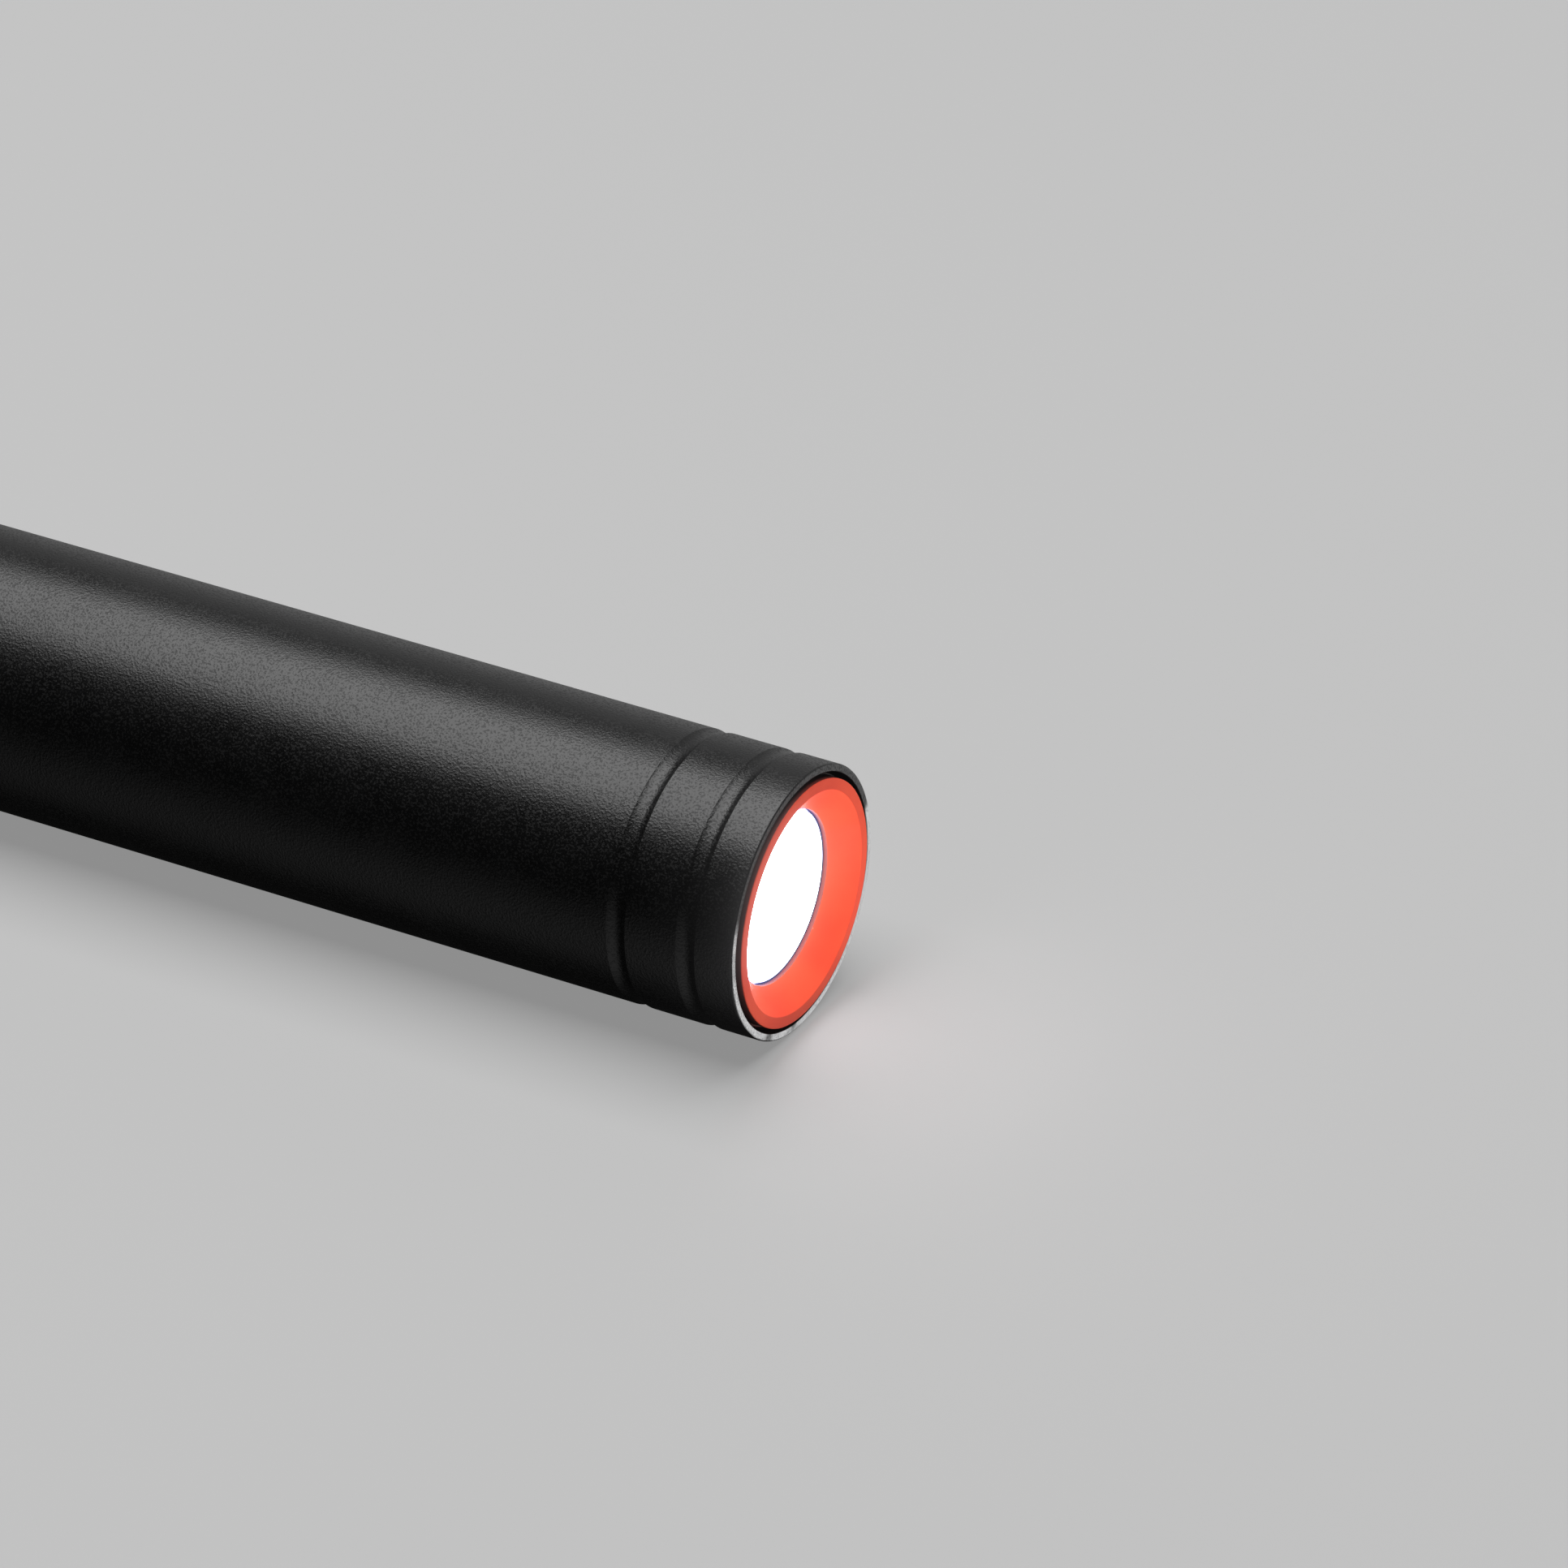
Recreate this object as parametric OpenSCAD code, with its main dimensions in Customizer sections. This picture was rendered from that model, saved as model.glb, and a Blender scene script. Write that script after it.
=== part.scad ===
// Penlight for two slim cells, with a focus head that slides and a push switch in the tail.
// The light's axis is X. The tail's end face is at x = 0 and the beam leaves towards +X.
// It lies on its side with +Z up, so the tube and the clip touch the ground at z = -body_r.

/* [Cells] */
// Diameter of one cell
cell_d = 10.5; // [10:0.1:11]
// Length of one cell, with its positive button
cell_len = 44.5; // [43:0.1:46]
// Diameter of the positive button of a cell
cell_button_d = 3.8; // [3:0.1:4.4]
// Height of the positive button of a cell
cell_button_h = 1; // [0.6:0.1:1.6]

/* [Tube] */
// Room between a cell and the bore of the barrel, on each side
cell_clear = 0.15; // [0.1:0.05:0.4]
// Wall of the barrel inside the focus sleeve
barrel_wall = 0.8; // [0.75:0.05:1.4]
// Running room between the focus sleeve and the barrel, on each side
slide_clear = 0.05; // [0.02:0.01:0.1]
// Wall of the focus sleeve
sleeve_wall = 1; // [0.9:0.05:1.6]
// Small chamfer on the turned ends of the tubes
edge_chamfer = 0.25; // [0.1:0.05:0.4]

/* [Focus head] */
// Length of the focus sleeve
sleeve_len = 58; // [48:1:70]
// Travel of the focus sleeve
focus_travel = 5; // [2:0.5:7]
// Height of the step inside the sleeve that stops its travel
stop_step = 0.3; // [0.2:0.05:0.4]
// Distance of the first grip groove behind the rim
groove_front = 2.68; // [2.5:0.02:3.2]
// Distance of the second grip groove behind the rim
groove_rear = 6.68; // [5:0.02:12]
// Depth of a grip groove
groove_depth = 0.16; // [0.1:0.01:0.2]
// Radius of the round floor of a grip groove
groove_floor_r = 0.92; // [0.7:0.02:1.2]
// Radius of the rounded shoulders of a grip groove
groove_shoulder_r = 0.1; // [0.05:0.01:0.2]
// Wall of the sleeve at its rim
rim_wall = 0.42; // [0.36:0.02:0.6]
// Radius of the rounded outer edge of the rim
rim_round = 0.12; // [0.06:0.02:0.3]

/* [Bezel and lens] */
// Open gap between the rim and the seat of the bezel, on each side
bezel_gap = 0.18; // [0.1:0.02:0.3]
// Height by which the bezel stands proud of the rim
bezel_proud = 0.16; // [0:0.02:0.3]
// Step from the seat of the bezel in to its lip, on each side
lip_step = 0.12; // [0.04:0.02:0.2]
// Height of the lip above that step
lip_h = 0.8; // [0.4:0.05:1.2]
// Width of the lip of the bezel
lip_w = 0.6; // [0.5:0.01:0.8]
// Small chamfer on the outer edge of the lip
lip_chamfer = 0.05; // [0.02:0.01:0.2]
// Diameter of the opening in front of the lens
lens_open_d = 9.24; // [8:0.04:9.6]
// Depth of the cone of the bezel
cone_depth = 1.26; // [0.8:0.02:1.6]
// Thickness of the bezel at the edge of its opening
bezel_web = 0.25; // [0.15:0.05:0.5]
// Depth of the bezel's seat behind the rim
bezel_seat = 1.6; // [1.4:0.05:1.9]
// Wall of the threaded skirt of the bezel
skirt_wall = 0.6; // [0.4:0.05:0.7]
// Height of the front dome of the lens
lens_front_h = 0.75; // [0.4:0.05:1]
// Height of the rear dome of the lens
lens_back_h = 2.6; // [1.5:0.1:3]
// Diameter of the rear dome of the lens
lens_back_d = 9.8; // [8:0.1:10]
// Thickness of the flange of the lens
lens_flange_t = 1.25; // [0.8:0.05:1.6]
// Thickness of the gasket in front of the lens flange
gasket_t = 0.3; // [0.2:0.05:0.5]
// Length of the ring that holds the lens in the bezel
lens_ring_len = 1.2; // [0.8:0.1:1.6]

/* [Light engine] */
// Length of the brass stud between the front cell and the driver board
stud_len = 2.5; // [1.5:0.1:4]
// Diameter of the brass stud
stud_d = 3.4; // [2.5:0.1:4.5]
// Thickness of the circuit boards
board_t = 1.2; // [0.8:0.1:1.6]
// Length of the threaded shank of the lamp holder
shank_len = 9; // [7:0.5:14]
// Depth of the cavity in the lamp holder, behind its web
holder_cavity = 5; // [4:0.5:6]
// Wall of the lamp holder around its cavity
holder_wall = 0.75; // [0.5:0.05:1]
// Thickness of the stop flange of the lamp holder
holder_flange_t = 3; // [2:0.5:4]
// Diameter of the lamp board
lamp_board_d = 10; // [8:0.2:11]
// Side of the square lamp package
lamp_w = 3.45; // [3:0.05:5]
// Height of the lamp package under its dome
lamp_h = 0.75; // [0.5:0.05:1.2]
// Diameter of the dome of the lamp
lamp_dome_d = 2.9; // [2:0.1:3.2]
// Room between the dome of the lamp and the lens when the head is pushed in
lamp_room = 0.7; // [0.5:0.1:2]
// Diameter of one lead wire with its insulation
lead_d = 0.8; // [0.5:0.05:1]
// Distance of the lead wires from the axis
lead_offset = 3.4; // [3:0.1:3.8]

/* [Tail] */
// Thickness of the end wall of the tail cap
tail_wall = 2.4; // [2:0.1:4]
// Depth of the finger dish around the button
dish_depth = 1.2; // [0.6:0.1:1.4]
// Radius of the rounded rear edge of the tail cap
tail_round = 0.6; // [0.2:0.1:0.8]
// Distance of the first grip groove from the end face of the tail
tail_groove = 4.5; // [3:0.1:6]
// Distance between the two grip grooves of the tail cap
tail_groove_pitch = 4; // [2:0.02:5]
// Length of the threaded spigot of the barrel
spigot_len = 6.4; // [6:0.1:12]
// Wall of the threaded spigot of the barrel
spigot_wall = 0.7; // [0.6:0.05:1]
// Running room in the thread of the tail cap, on each side
thread_clear = 0.06; // [0.03:0.01:0.1]
// Diameter of the section of the seal rings
seal_d = 0.46; // [0.4:0.02:0.5]

/* [Switch] */
// Diameter of the button
button_d = 7.8; // [6:0.1:8]
// Depth of the top of the button below the end face
button_sunk = 0.1; // [0:0.05:0.5]
// Height of the dome of the button
button_dome_h = 0.75; // [0.3:0.05:1]
// Thickness of the flange of the button
button_flange_t = 0.95; // [0.6:0.05:1.5]
// Width by which the flange stands out from the button
button_flange_w = 0.75; // [0.4:0.05:1]
// Travel of the button
button_travel = 1.4; // [0.8:0.1:1.6]
// Turns of the return spring
return_turns = 2; // [2:1:3]
// Diameter of the plunger
plunger_d = 3.2; // [2.4:0.1:3.6]
// Thickness of the floor of the switch housing
housing_floor = 1.2; // [0.8:0.1:1.5]
// Wall of the switch housing
housing_wall = 1.2; // [0.8:0.1:1.4]
// Thickness of the contact bridge
bridge_t = 0.45; // [0.3:0.05:0.6]
// Diameter of one fixed contact
contact_d = 1.2; // [0.8:0.1:1.6]
// Height of one fixed contact
contact_h = 1.65; // [0.8:0.05:3]
// Distance of the fixed contacts from the axis
contact_offset = 2; // [1.6:0.1:2.2]
// Length of the ring that holds the switch board
switch_ring_len = 1.8; // [1.2:0.1:3]
// Width of the ring that holds the switch board
switch_ring_w = 1.3; // [0.9:0.1:1.4]
// Length of the contact spring of the tail
tail_spring_len = 7; // [6:0.1:10]
// Turns of the contact spring of the tail
tail_spring_turns = 5; // [3:1:6]
// Diameter of the contact spring at the board
tail_spring_wide = 6; // [5:0.1:6.6]
// Diameter of the contact spring at the cell
tail_spring_slim = 4.4; // [3:0.1:5]
// Diameter of the spring wire
wire_d = 0.45; // [0.3:0.05:0.6]

/* [Pocket clip] */
// Thickness of the clip's sheet
clip_t = 0.6; // [0.4:0.05:0.8]
// Width of the plain ring of the clip on each side of the arm's bend
ring_margin = 1.5; // [1:0.1:4]
// Width of the arm of the clip
arm_w = 5; // [3:0.2:6]
// Length of the arm, from the rear edge of the ring to its tip
arm_len = 46; // [30:1:52]
// Gap between the arm and the tube
arm_gap = 1.1; // [0.8:0.1:2]
// Length over which the arm rises from the ring
arm_rise_len = 4; // [3:0.5:6]
// Length of the bent end that grips the cloth
arm_dip_len = 7; // [5:0.5:10]
// Gap between the bent end and the tube
dip_gap = 0.2; // [0.15:0.05:0.6]
// Height by which the tip is lifted again
tip_lift = 0.8; // [0.3:0.1:0.8]

/* [Hidden] */
$fn = 96;

// Fits: a flat seam, a turned part in its seat, a running pin and the overlap of a cut
seam = 0.15;
seat_clear = 0.05;
pin_clear = 0.1;
seal_clear = 0.02;
cut = 1;
arc_steps = 8;

// Radii from the cells outwards
cell_r = cell_d / 2;
bore_r = cell_r + cell_clear;
slide_r = bore_r + barrel_wall;
sleeve_bore_r = slide_r + slide_clear;
body_r = sleeve_bore_r + sleeve_wall;
head_bore_r = sleeve_bore_r + stop_step;
rim_in_r = body_r - rim_wall;
bezel_seat_r = rim_in_r - bezel_gap;
lip_r = bezel_seat_r - lip_step;
cone_r = lip_r - lip_w;
lens_open_r = lens_open_d / 2;
skirt_r = head_bore_r - seat_clear;
skirt_in_r = skirt_r - skirt_wall;
lens_r = skirt_in_r - seat_clear;
lens_back_r = lens_back_d / 2;
holder_flange_r = head_bore_r - slide_clear;
shank_r = bore_r - seat_clear;
holder_cavity_r = shank_r - holder_wall;
spigot_r = bore_r + spigot_wall;
cap_bore_r = spigot_r + thread_clear;
button_r = button_d / 2;
button_flange_r = button_r + button_flange_w;
cap_cavity_r = button_flange_r + pin_clear;
switch_board_r = bore_r - seat_clear - pin_clear;
switch_ring_r = switch_board_r + seat_clear;
board_cavity_r = switch_ring_r + seat_clear;
housing_r = cap_cavity_r - pin_clear;
housing_cavity_r = housing_r - housing_wall;
plunger_r = plunger_d / 2;
clip_ring_in_r = body_r - clip_t;
clip_seat_r = clip_ring_in_r - seat_clear;
seal_r = seal_d / 2;

// Lengths that follow from what they hold
return_len = button_travel + (return_turns + 1) * wire_d;
housing_len = housing_floor + 2 * seam + bridge_t + button_travel + contact_h;
clip_ring_w = arm_rise_len + 2 * ring_margin;

// Places along the axis, from the tail to the rim
flange_x = tail_wall + seam;
return_x = flange_x + button_flange_t;
housing_x = return_x + return_len;
switch_board_x = housing_x + housing_len;
switch_ring_x = switch_board_x + board_t;
spigot_x = switch_ring_x + switch_ring_len + 2 * seam;
clip_x = spigot_x + spigot_len;
cap_end_x = clip_x - seam;
barrel_x = clip_x + clip_ring_w + seam;
rear_cell_x = switch_ring_x + tail_spring_len;
front_cell_x = rear_cell_x + cell_len;
stud_x = front_cell_x + cell_len;
driver_x = stud_x + stud_len;
shank_x = driver_x + board_t;
holder_flange_x = shank_x + shank_len;
lamp_board_x = holder_flange_x + holder_flange_t;
lamp_x = lamp_board_x + board_t;
lamp_dome_x = lamp_x + lamp_h;
lens_back_x = lamp_dome_x + lamp_dome_d / 2 + lamp_room;
lens_flange_x = lens_back_x + lens_back_h;
gasket_x = lens_flange_x + lens_flange_t;
web_x = gasket_x + gasket_t;
cone_x = web_x + bezel_web;
bezel_front_x = cone_x + cone_depth;
rim_x = bezel_front_x - bezel_proud;
bezel_seat_x = rim_x - bezel_seat;
skirt_x = lens_flange_x - lens_ring_len - seam;
sleeve_x = rim_x - sleeve_len;
stop_x = holder_flange_x - focus_travel - seam;
shoulder_x = sleeve_x - seam;

bridge_x = housing_x + housing_floor + seam;

// The seal rings sit in grooves a little wider than their section
seal_groove_w = seal_d + 4 * seat_clear;
focus_seal_r = sleeve_bore_r - seal_clear - seal_r;
focus_seal_x = [sleeve_x + focus_travel + 3 * seal_groove_w, stop_x - 3 * seal_groove_w];
tail_seal_r = spigot_r + seal_clear + seal_r;
tail_seal_x = cap_end_x - 2 * seal_groove_w;

// Spanner notches in the two holding rings
notch_w = 1.2;
notch_depth = 0.5;

// Parts on the driver board, under the inductor and the chip the two capacitors
inductor_d = 2.6;
inductor_h = 2.2;
chip_size = [1.1, 2.4, 1.8];
capacitor_size = [0.9, 1.4, 0.8];
capacitor_offset = capacitor_size[1] / 2 + seam;
capacitor_z = -chip_size[2] - capacitor_size[2] - 2 * seam;

// Points of a round stretch about c, in [radius, place along the axis]
function arc(c, r, a0, a1, first = 0, last = arc_steps) =
    [for (i = [first:last]) let (a = a0 + (a1 - a0) * i / arc_steps) c + r * [cos(a), sin(a)]];

// Outline of a round face of radius r on the plane x0, with its top at x1, from the smaller x onwards
function cap_radius(r, h) = (r * r + h * h) / (2 * h);
function cap_arc(r, x0, x1) = let (
    ball_r = cap_radius(r, abs(x1 - x0)),
    way = sign(x1 - x0),
    half = asin(r / ball_r)
) arc([0, x1 - way * ball_r], ball_r, way > 0 ? 90 - half : -90, way > 0 ? 90 : half - 90);

// Outline of one grip groove at x: shoulder, floor, shoulder
groove_lean = groove_floor_r + groove_shoulder_r - groove_depth;
groove_half = sqrt(pow(groove_floor_r + groove_shoulder_r, 2) - pow(groove_lean, 2));
groove_angle = atan2(groove_half, groove_lean);
function groove(x) = let (
    shoulder = body_r - groove_shoulder_r,
    middle = body_r - groove_depth + groove_floor_r
) concat(
    arc([shoulder, x - groove_half], groove_shoulder_r, 0, groove_angle),
    arc([middle, x], groove_floor_r, 180 + groove_angle, 180 - groove_angle, 1, arc_steps - 1),
    arc([shoulder, x + groove_half], groove_shoulder_r, -groove_angle, 0)
);

// Outline of a square groove for a seal ring, cut from radius r to radius floor_r
function seal_groove(x, r, floor_r) = let (w = seal_groove_w / 2) [
    [r, x - w], [floor_r, x - w], [floor_r, x + w], [r, x + w]
];

// Centre line of a coil of wire between two places, with one radius at each end
coil_rings = 8;
coil_sides = 6;
function coil_line(r0, r1, x0, x1, turns) = let (n = turns * coil_rings) [
    for (i = [0:n]) let (a = 360 * i / coil_rings, r = r0 + (r1 - r0) * i / n)
        [x0 + wire_d / 2 + (x1 - x0 - wire_d) * i / n, r * cos(a), r * sin(a)]
];
function coil_gap(line) = min([
    for (i = [0:len(line) - 1], j = [i + coil_rings / 2:1:len(line) - 1]) norm(line[i] - line[j])
]) - wire_d;

tail_coil = coil_line(
    tail_spring_wide / 2, tail_spring_slim / 2,
    switch_ring_x, rear_cell_x - seal_clear, tail_spring_turns
);
return_coil_r = plunger_r + wire_d / 2 + 4 * pin_clear;
return_coil = coil_line(
    return_coil_r, return_coil_r, return_x + seal_clear, housing_x - seal_clear, return_turns
);
echo(tail_spring_gap = coil_gap(tail_coil), return_spring_gap = coil_gap(return_coil));

// Side line of the clip's arm: it rises from the ring, runs level, dips to the tube and lifts its tip
arm_x = clip_x + ring_margin;
arm_tip_x = clip_x + arm_len;
arm_low = body_r - clip_t / 2;
arm_high = body_r + arm_gap + clip_t / 2;
arm_dip = body_r + dip_gap + clip_t / 2;
arm_points = 12;
arm_lift_share = 0.4;
arm_dip_x = arm_tip_x - arm_dip_len * arm_lift_share;
function ease(u) = (1 - cos(180 * u)) / 2;
function bend(x0, r0, x1, r1, first = 0) = [
    for (i = [first:arm_points]) let (u = i / arm_points) [x0 + (x1 - x0) * u, r0 + (r1 - r0) * ease(u)]
];
arm_line = concat(
    [[clip_x + edge_chamfer, arm_low]],
    bend(arm_x, arm_low, arm_x + arm_rise_len, arm_high),
    bend(arm_tip_x - arm_dip_len, arm_high, arm_dip_x, arm_dip),
    bend(arm_dip_x, arm_dip, arm_tip_x, arm_dip + tip_lift, 1)
);
function heading(line, i) = let (
    step = line[min(i + 1, len(line) - 1)] - line[max(i - 1, 0)]
) step / norm(step);
function side(line, d) = [
    for (i = [0:len(line) - 1]) let (h = heading(line, i)) line[i] + d * [-h[1], h[0]]
];

// The clip leans so that the tube and one edge of the arm rest on the ground together
arm_top_r = arm_high + clip_t / 2;
arm_edge_r = norm([arm_top_r, arm_w / 2]);
clip_lean = acos(body_r / arm_edge_r) + atan2(arm_w / 2, arm_top_r);

module turned() {
    rotate([0, 90, 0]) rotate_extrude() children();
}

module rod(r, x0, x1) {
    translate([x0, 0, 0]) rotate([0, 90, 0]) cylinder(r = r, h = x1 - x0);
}

module tube(r_out, r_in, x0, x1) {
    difference() {
        rod(r_out, x0, x1);
        rod(r_in, x0 - cut, x1 + cut);
    }
}

// Spherical cap of radius r on the plane x0, with its top at x1 on either side
module dome(r, x0, x1) {
    h = abs(x1 - x0);
    ball_r = cap_radius(r, h);
    way = sign(x1 - x0);
    past_x = x1 + way * cut;
    intersection() {
        translate([x1 - way * ball_r, 0, 0]) sphere(ball_r);
        rod(r + cut, min(x0, past_x), max(x0, past_x));
    }
}

// Ring from the plane x over a length to either side, with two notches for a spanner in its far face
module spanner_ring(r_out, r_in, x, len) {
    far_x = x + len;
    difference() {
        tube(r_out, r_in, min(x, far_x), max(x, far_x));
        translate([far_x, 0, 0]) cube([2 * notch_depth, 3 * r_out, notch_w], center = true);
    }
}

module seal(r, x) {
    turned() translate([r, x]) circle(seal_r);
}

module coil(line) {
    n = len(line);
    points = [
        for (p = line, k = [0:coil_sides - 1])
            let (a = 360 * k / coil_sides, out = [0, p[1], p[2]] / norm([p[1], p[2]]))
                p + wire_d / 2 * (cos(a) * out + sin(a) * [1, 0, 0])
    ];
    walls = [
        for (i = [0:n - 2], k = [0:coil_sides - 1])
            let (m = (k + 1) % coil_sides, a = i * coil_sides, b = a + coil_sides)
                each [[a + k, a + m, b + k], [a + m, b + m, b + k]]
    ];
    last = (n - 1) * coil_sides;
    ends = [
        for (k = [1:coil_sides - 2])
            each [[0, k + 1, k], [last, last + k, last + k + 1]]
    ];
    polyhedron(points, concat(walls, ends));
}

module head_sleeve() {
    color("#242426") turned() polygon(concat(
        [[sleeve_bore_r, sleeve_x], [body_r - edge_chamfer, sleeve_x], [body_r, sleeve_x + edge_chamfer]],
        groove(rim_x - groove_rear),
        groove(rim_x - groove_front),
        arc([body_r - rim_round, rim_x - rim_round], rim_round, 0, 90),
        [[rim_in_r, rim_x], [rim_in_r, bezel_seat_x], [head_bore_r, bezel_seat_x]],
        [[head_bore_r, stop_x], [sleeve_bore_r, stop_x]]
    ));
}

module bezel_ring() {
    color("#f4633f") turned() polygon(concat(
        [[skirt_r, skirt_x], [skirt_r, bezel_seat_x], [bezel_seat_r, bezel_seat_x]],
        [[bezel_seat_r, bezel_front_x - lip_h], [lip_r, bezel_front_x - lip_h]],
        [[lip_r, bezel_front_x - lip_chamfer], [lip_r - lip_chamfer, bezel_front_x]],
        [[cone_r, bezel_front_x], [lens_open_r, cone_x], [lens_open_r, web_x]],
        [[skirt_in_r, web_x], [skirt_in_r, skirt_x]]
    ));
}

module lens() {
    dome_r = lens_open_r - pin_clear;
    color("white") turned() polygon(concat(
        cap_arc(lens_back_r, lens_flange_x, lens_back_x),
        [[lens_r, lens_flange_x], [lens_r, gasket_x], [dome_r, gasket_x]],
        cap_arc(dome_r, web_x, web_x + lens_front_h)
    ));
}

module lens_gasket() {
    color("#303032") tube(lens_r, lens_open_r + seat_clear, gasket_x, web_x);
}

module lens_ring() {
    color("#38383a") spanner_ring(lens_r, lens_back_r + pin_clear, lens_flange_x, -lens_ring_len);
}

module barrel() {
    color("#242426") turned() polygon(concat(
        [[bore_r, spigot_x], [spigot_r - edge_chamfer, spigot_x], [spigot_r, spigot_x + edge_chamfer]],
        [[spigot_r, clip_x], [clip_seat_r, clip_x], [clip_seat_r, barrel_x]],
        [[body_r - edge_chamfer, barrel_x], [body_r, barrel_x + edge_chamfer]],
        [[body_r, shoulder_x - edge_chamfer], [body_r - edge_chamfer, shoulder_x], [slide_r, shoulder_x]],
        [for (x = focus_seal_x) each seal_groove(x, slide_r, focus_seal_r - seal_r - seal_clear)],
        [[slide_r, holder_flange_x], [bore_r, holder_flange_x]]
    ));
}

module focus_seals() {
    color("#1a1a1a") for (x = focus_seal_x) seal(focus_seal_r, x);
}

module lamp_holder() {
    color("silver") difference() {
        union() {
            rod(shank_r, shank_x, holder_flange_x);
            rod(holder_flange_r, holder_flange_x, lamp_board_x);
        }
        rod(holder_cavity_r, shank_x - cut, shank_x + holder_cavity);
        for (y = [-1, 1]) translate([0, y * lead_offset, 0])
            rod(lead_d / 2 + pin_clear, shank_x, lamp_board_x + cut);
    }
}

module lamp_board() {
    color("whitesmoke") rod(lamp_board_d / 2, lamp_board_x, lamp_x);
}

module lamp_package() {
    color("ivory") translate([lamp_x, -lamp_w / 2, -lamp_w / 2]) cube([lamp_h, lamp_w, lamp_w]);
}

module lamp_dome() {
    color("khaki") dome(lamp_dome_d / 2, lamp_dome_x, lamp_dome_x + lamp_dome_d / 2);
}

module lamp_leads() {
    color("firebrick") for (y = [-1, 1]) translate([0, y * lead_offset, 0])
        rod(lead_d / 2, shank_x, lamp_board_x);
}

module driver_board() {
    color("darkgreen") rod(shank_r - seat_clear, driver_x, shank_x);
}

module driver_parts() {
    color("#3a3a3c") {
        translate([0, 0, inductor_d / 2 + seam]) rod(inductor_d / 2, shank_x, shank_x + inductor_h);
        translate([shank_x, -chip_size[1] / 2, -chip_size[2] - seam]) cube(chip_size);
        for (y = [-1, 1]) translate([shank_x, y * capacitor_offset - capacitor_size[1] / 2, capacitor_z])
            cube(capacitor_size);
    }
}

module front_stud() {
    color("goldenrod") rod(stud_d / 2, stud_x, driver_x);
}

module cell(x) {
    can_x = x + cell_len - cell_button_h;
    union() {
        turned() polygon([
            [0, x], [cell_r - edge_chamfer, x], [cell_r, x + edge_chamfer],
            [cell_r, can_x - edge_chamfer], [cell_r - edge_chamfer, can_x], [0, can_x]
        ]);
        rod(cell_button_d / 2, can_x - cell_button_h, x + cell_len);
    }
}

module front_cell() {
    color("slategray") cell(front_cell_x);
}

module rear_cell() {
    color("slategray") cell(rear_cell_x);
}

module pocket_clip() {
    arm_outline = concat(side(arm_line, clip_t / 2), [
        for (p = [len(arm_line) - 1:-1:0]) side(arm_line, -clip_t / 2)[p]
    ]);
    color("#2e2e30") rotate([180 + clip_lean, 0, 0]) union() {
        difference() {
            tube(body_r, clip_ring_in_r, clip_x, clip_x + clip_ring_w);
            translate([arm_x, -arm_w / 2 - pin_clear, 0])
                cube([clip_ring_w, arm_w + 2 * pin_clear, body_r + cut]);
        }
        intersection() {
            rotate([90, 0, 0]) linear_extrude(arm_w, center = true) polygon(arm_outline);
            linear_extrude(arm_top_r + cut) union() {
                translate([clip_x, -arm_w / 2]) square([arm_len - arm_w / 2, arm_w]);
                translate([arm_tip_x - arm_w / 2, 0]) circle(arm_w / 2);
            }
        }
    }
}

module tail_seal() {
    color("#1a1a1a") seal(tail_seal_r, tail_seal_x);
}

module tail_cap() {
    button_bore_r = button_r + pin_clear;
    color("#242426") turned() polygon(concat(
        [[button_bore_r, dish_depth], [button_bore_r + dish_depth, 0]],
        arc([body_r - tail_round, tail_round], tail_round, -90, 0),
        groove(tail_groove),
        groove(tail_groove + tail_groove_pitch),
        [[body_r, cap_end_x - edge_chamfer], [body_r - edge_chamfer, cap_end_x], [cap_bore_r, cap_end_x]],
        [for (p = [3:-1:0]) seal_groove(tail_seal_x, cap_bore_r, tail_seal_r + seal_r + seal_clear)[p]],
        [[cap_bore_r, spigot_x - seam], [board_cavity_r, spigot_x - seam]],
        [[board_cavity_r, switch_board_x], [cap_cavity_r, switch_board_x], [cap_cavity_r, tail_wall]],
        [[button_bore_r, tail_wall]]
    ));
}

module switch_housing() {
    color("#444448") difference() {
        rod(housing_r, housing_x, switch_board_x);
        rod(plunger_r + pin_clear, housing_x - cut, switch_board_x);
        rod(housing_cavity_r, housing_x + housing_floor, switch_board_x + cut);
    }
}

module switch_contacts() {
    color("goldenrod") for (y = [-1, 1]) translate([0, y * contact_offset, 0])
        rod(contact_d / 2, switch_board_x - contact_h, switch_board_x);
}

module switch_board() {
    color("darkgreen") rod(switch_board_r, switch_board_x, switch_ring_x);
}

module switch_ring() {
    hole_r = switch_ring_r - switch_ring_w;
    color("goldenrod") spanner_ring(switch_ring_r, hole_r, switch_ring_x, switch_ring_len);
}

module tail_spring() {
    color("gold") coil(tail_coil);
}

module return_spring() {
    color("gainsboro") coil(return_coil);
}

module tail_button() {
    dome_x = button_sunk + button_dome_h;
    color("#1c1c1d") union() {
        dome(button_r, dome_x, button_sunk);
        rod(button_r, dome_x, return_x);
        rod(button_flange_r, flange_x, return_x);
    }
}

module switch_plunger() {
    color("gainsboro") rod(plunger_r, return_x, bridge_x);
}

module contact_bridge() {
    color("goldenrod") rod(housing_cavity_r - 4 * pin_clear, bridge_x, bridge_x + bridge_t);
}

head_sleeve();
bezel_ring();
lens();
lens_gasket();
lens_ring();
barrel();
focus_seals();
lamp_holder();
lamp_board();
lamp_package();
lamp_dome();
lamp_leads();
driver_board();
driver_parts();
front_stud();
front_cell();
rear_cell();
pocket_clip();
tail_seal();
tail_cap();
switch_housing();
switch_contacts();
switch_board();
switch_ring();
tail_spring();
return_spring();
tail_button();
switch_plunger();
contact_bridge();
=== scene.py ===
import math

import bpy
import numpy as np
from mathutils import Matrix, Vector


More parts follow.
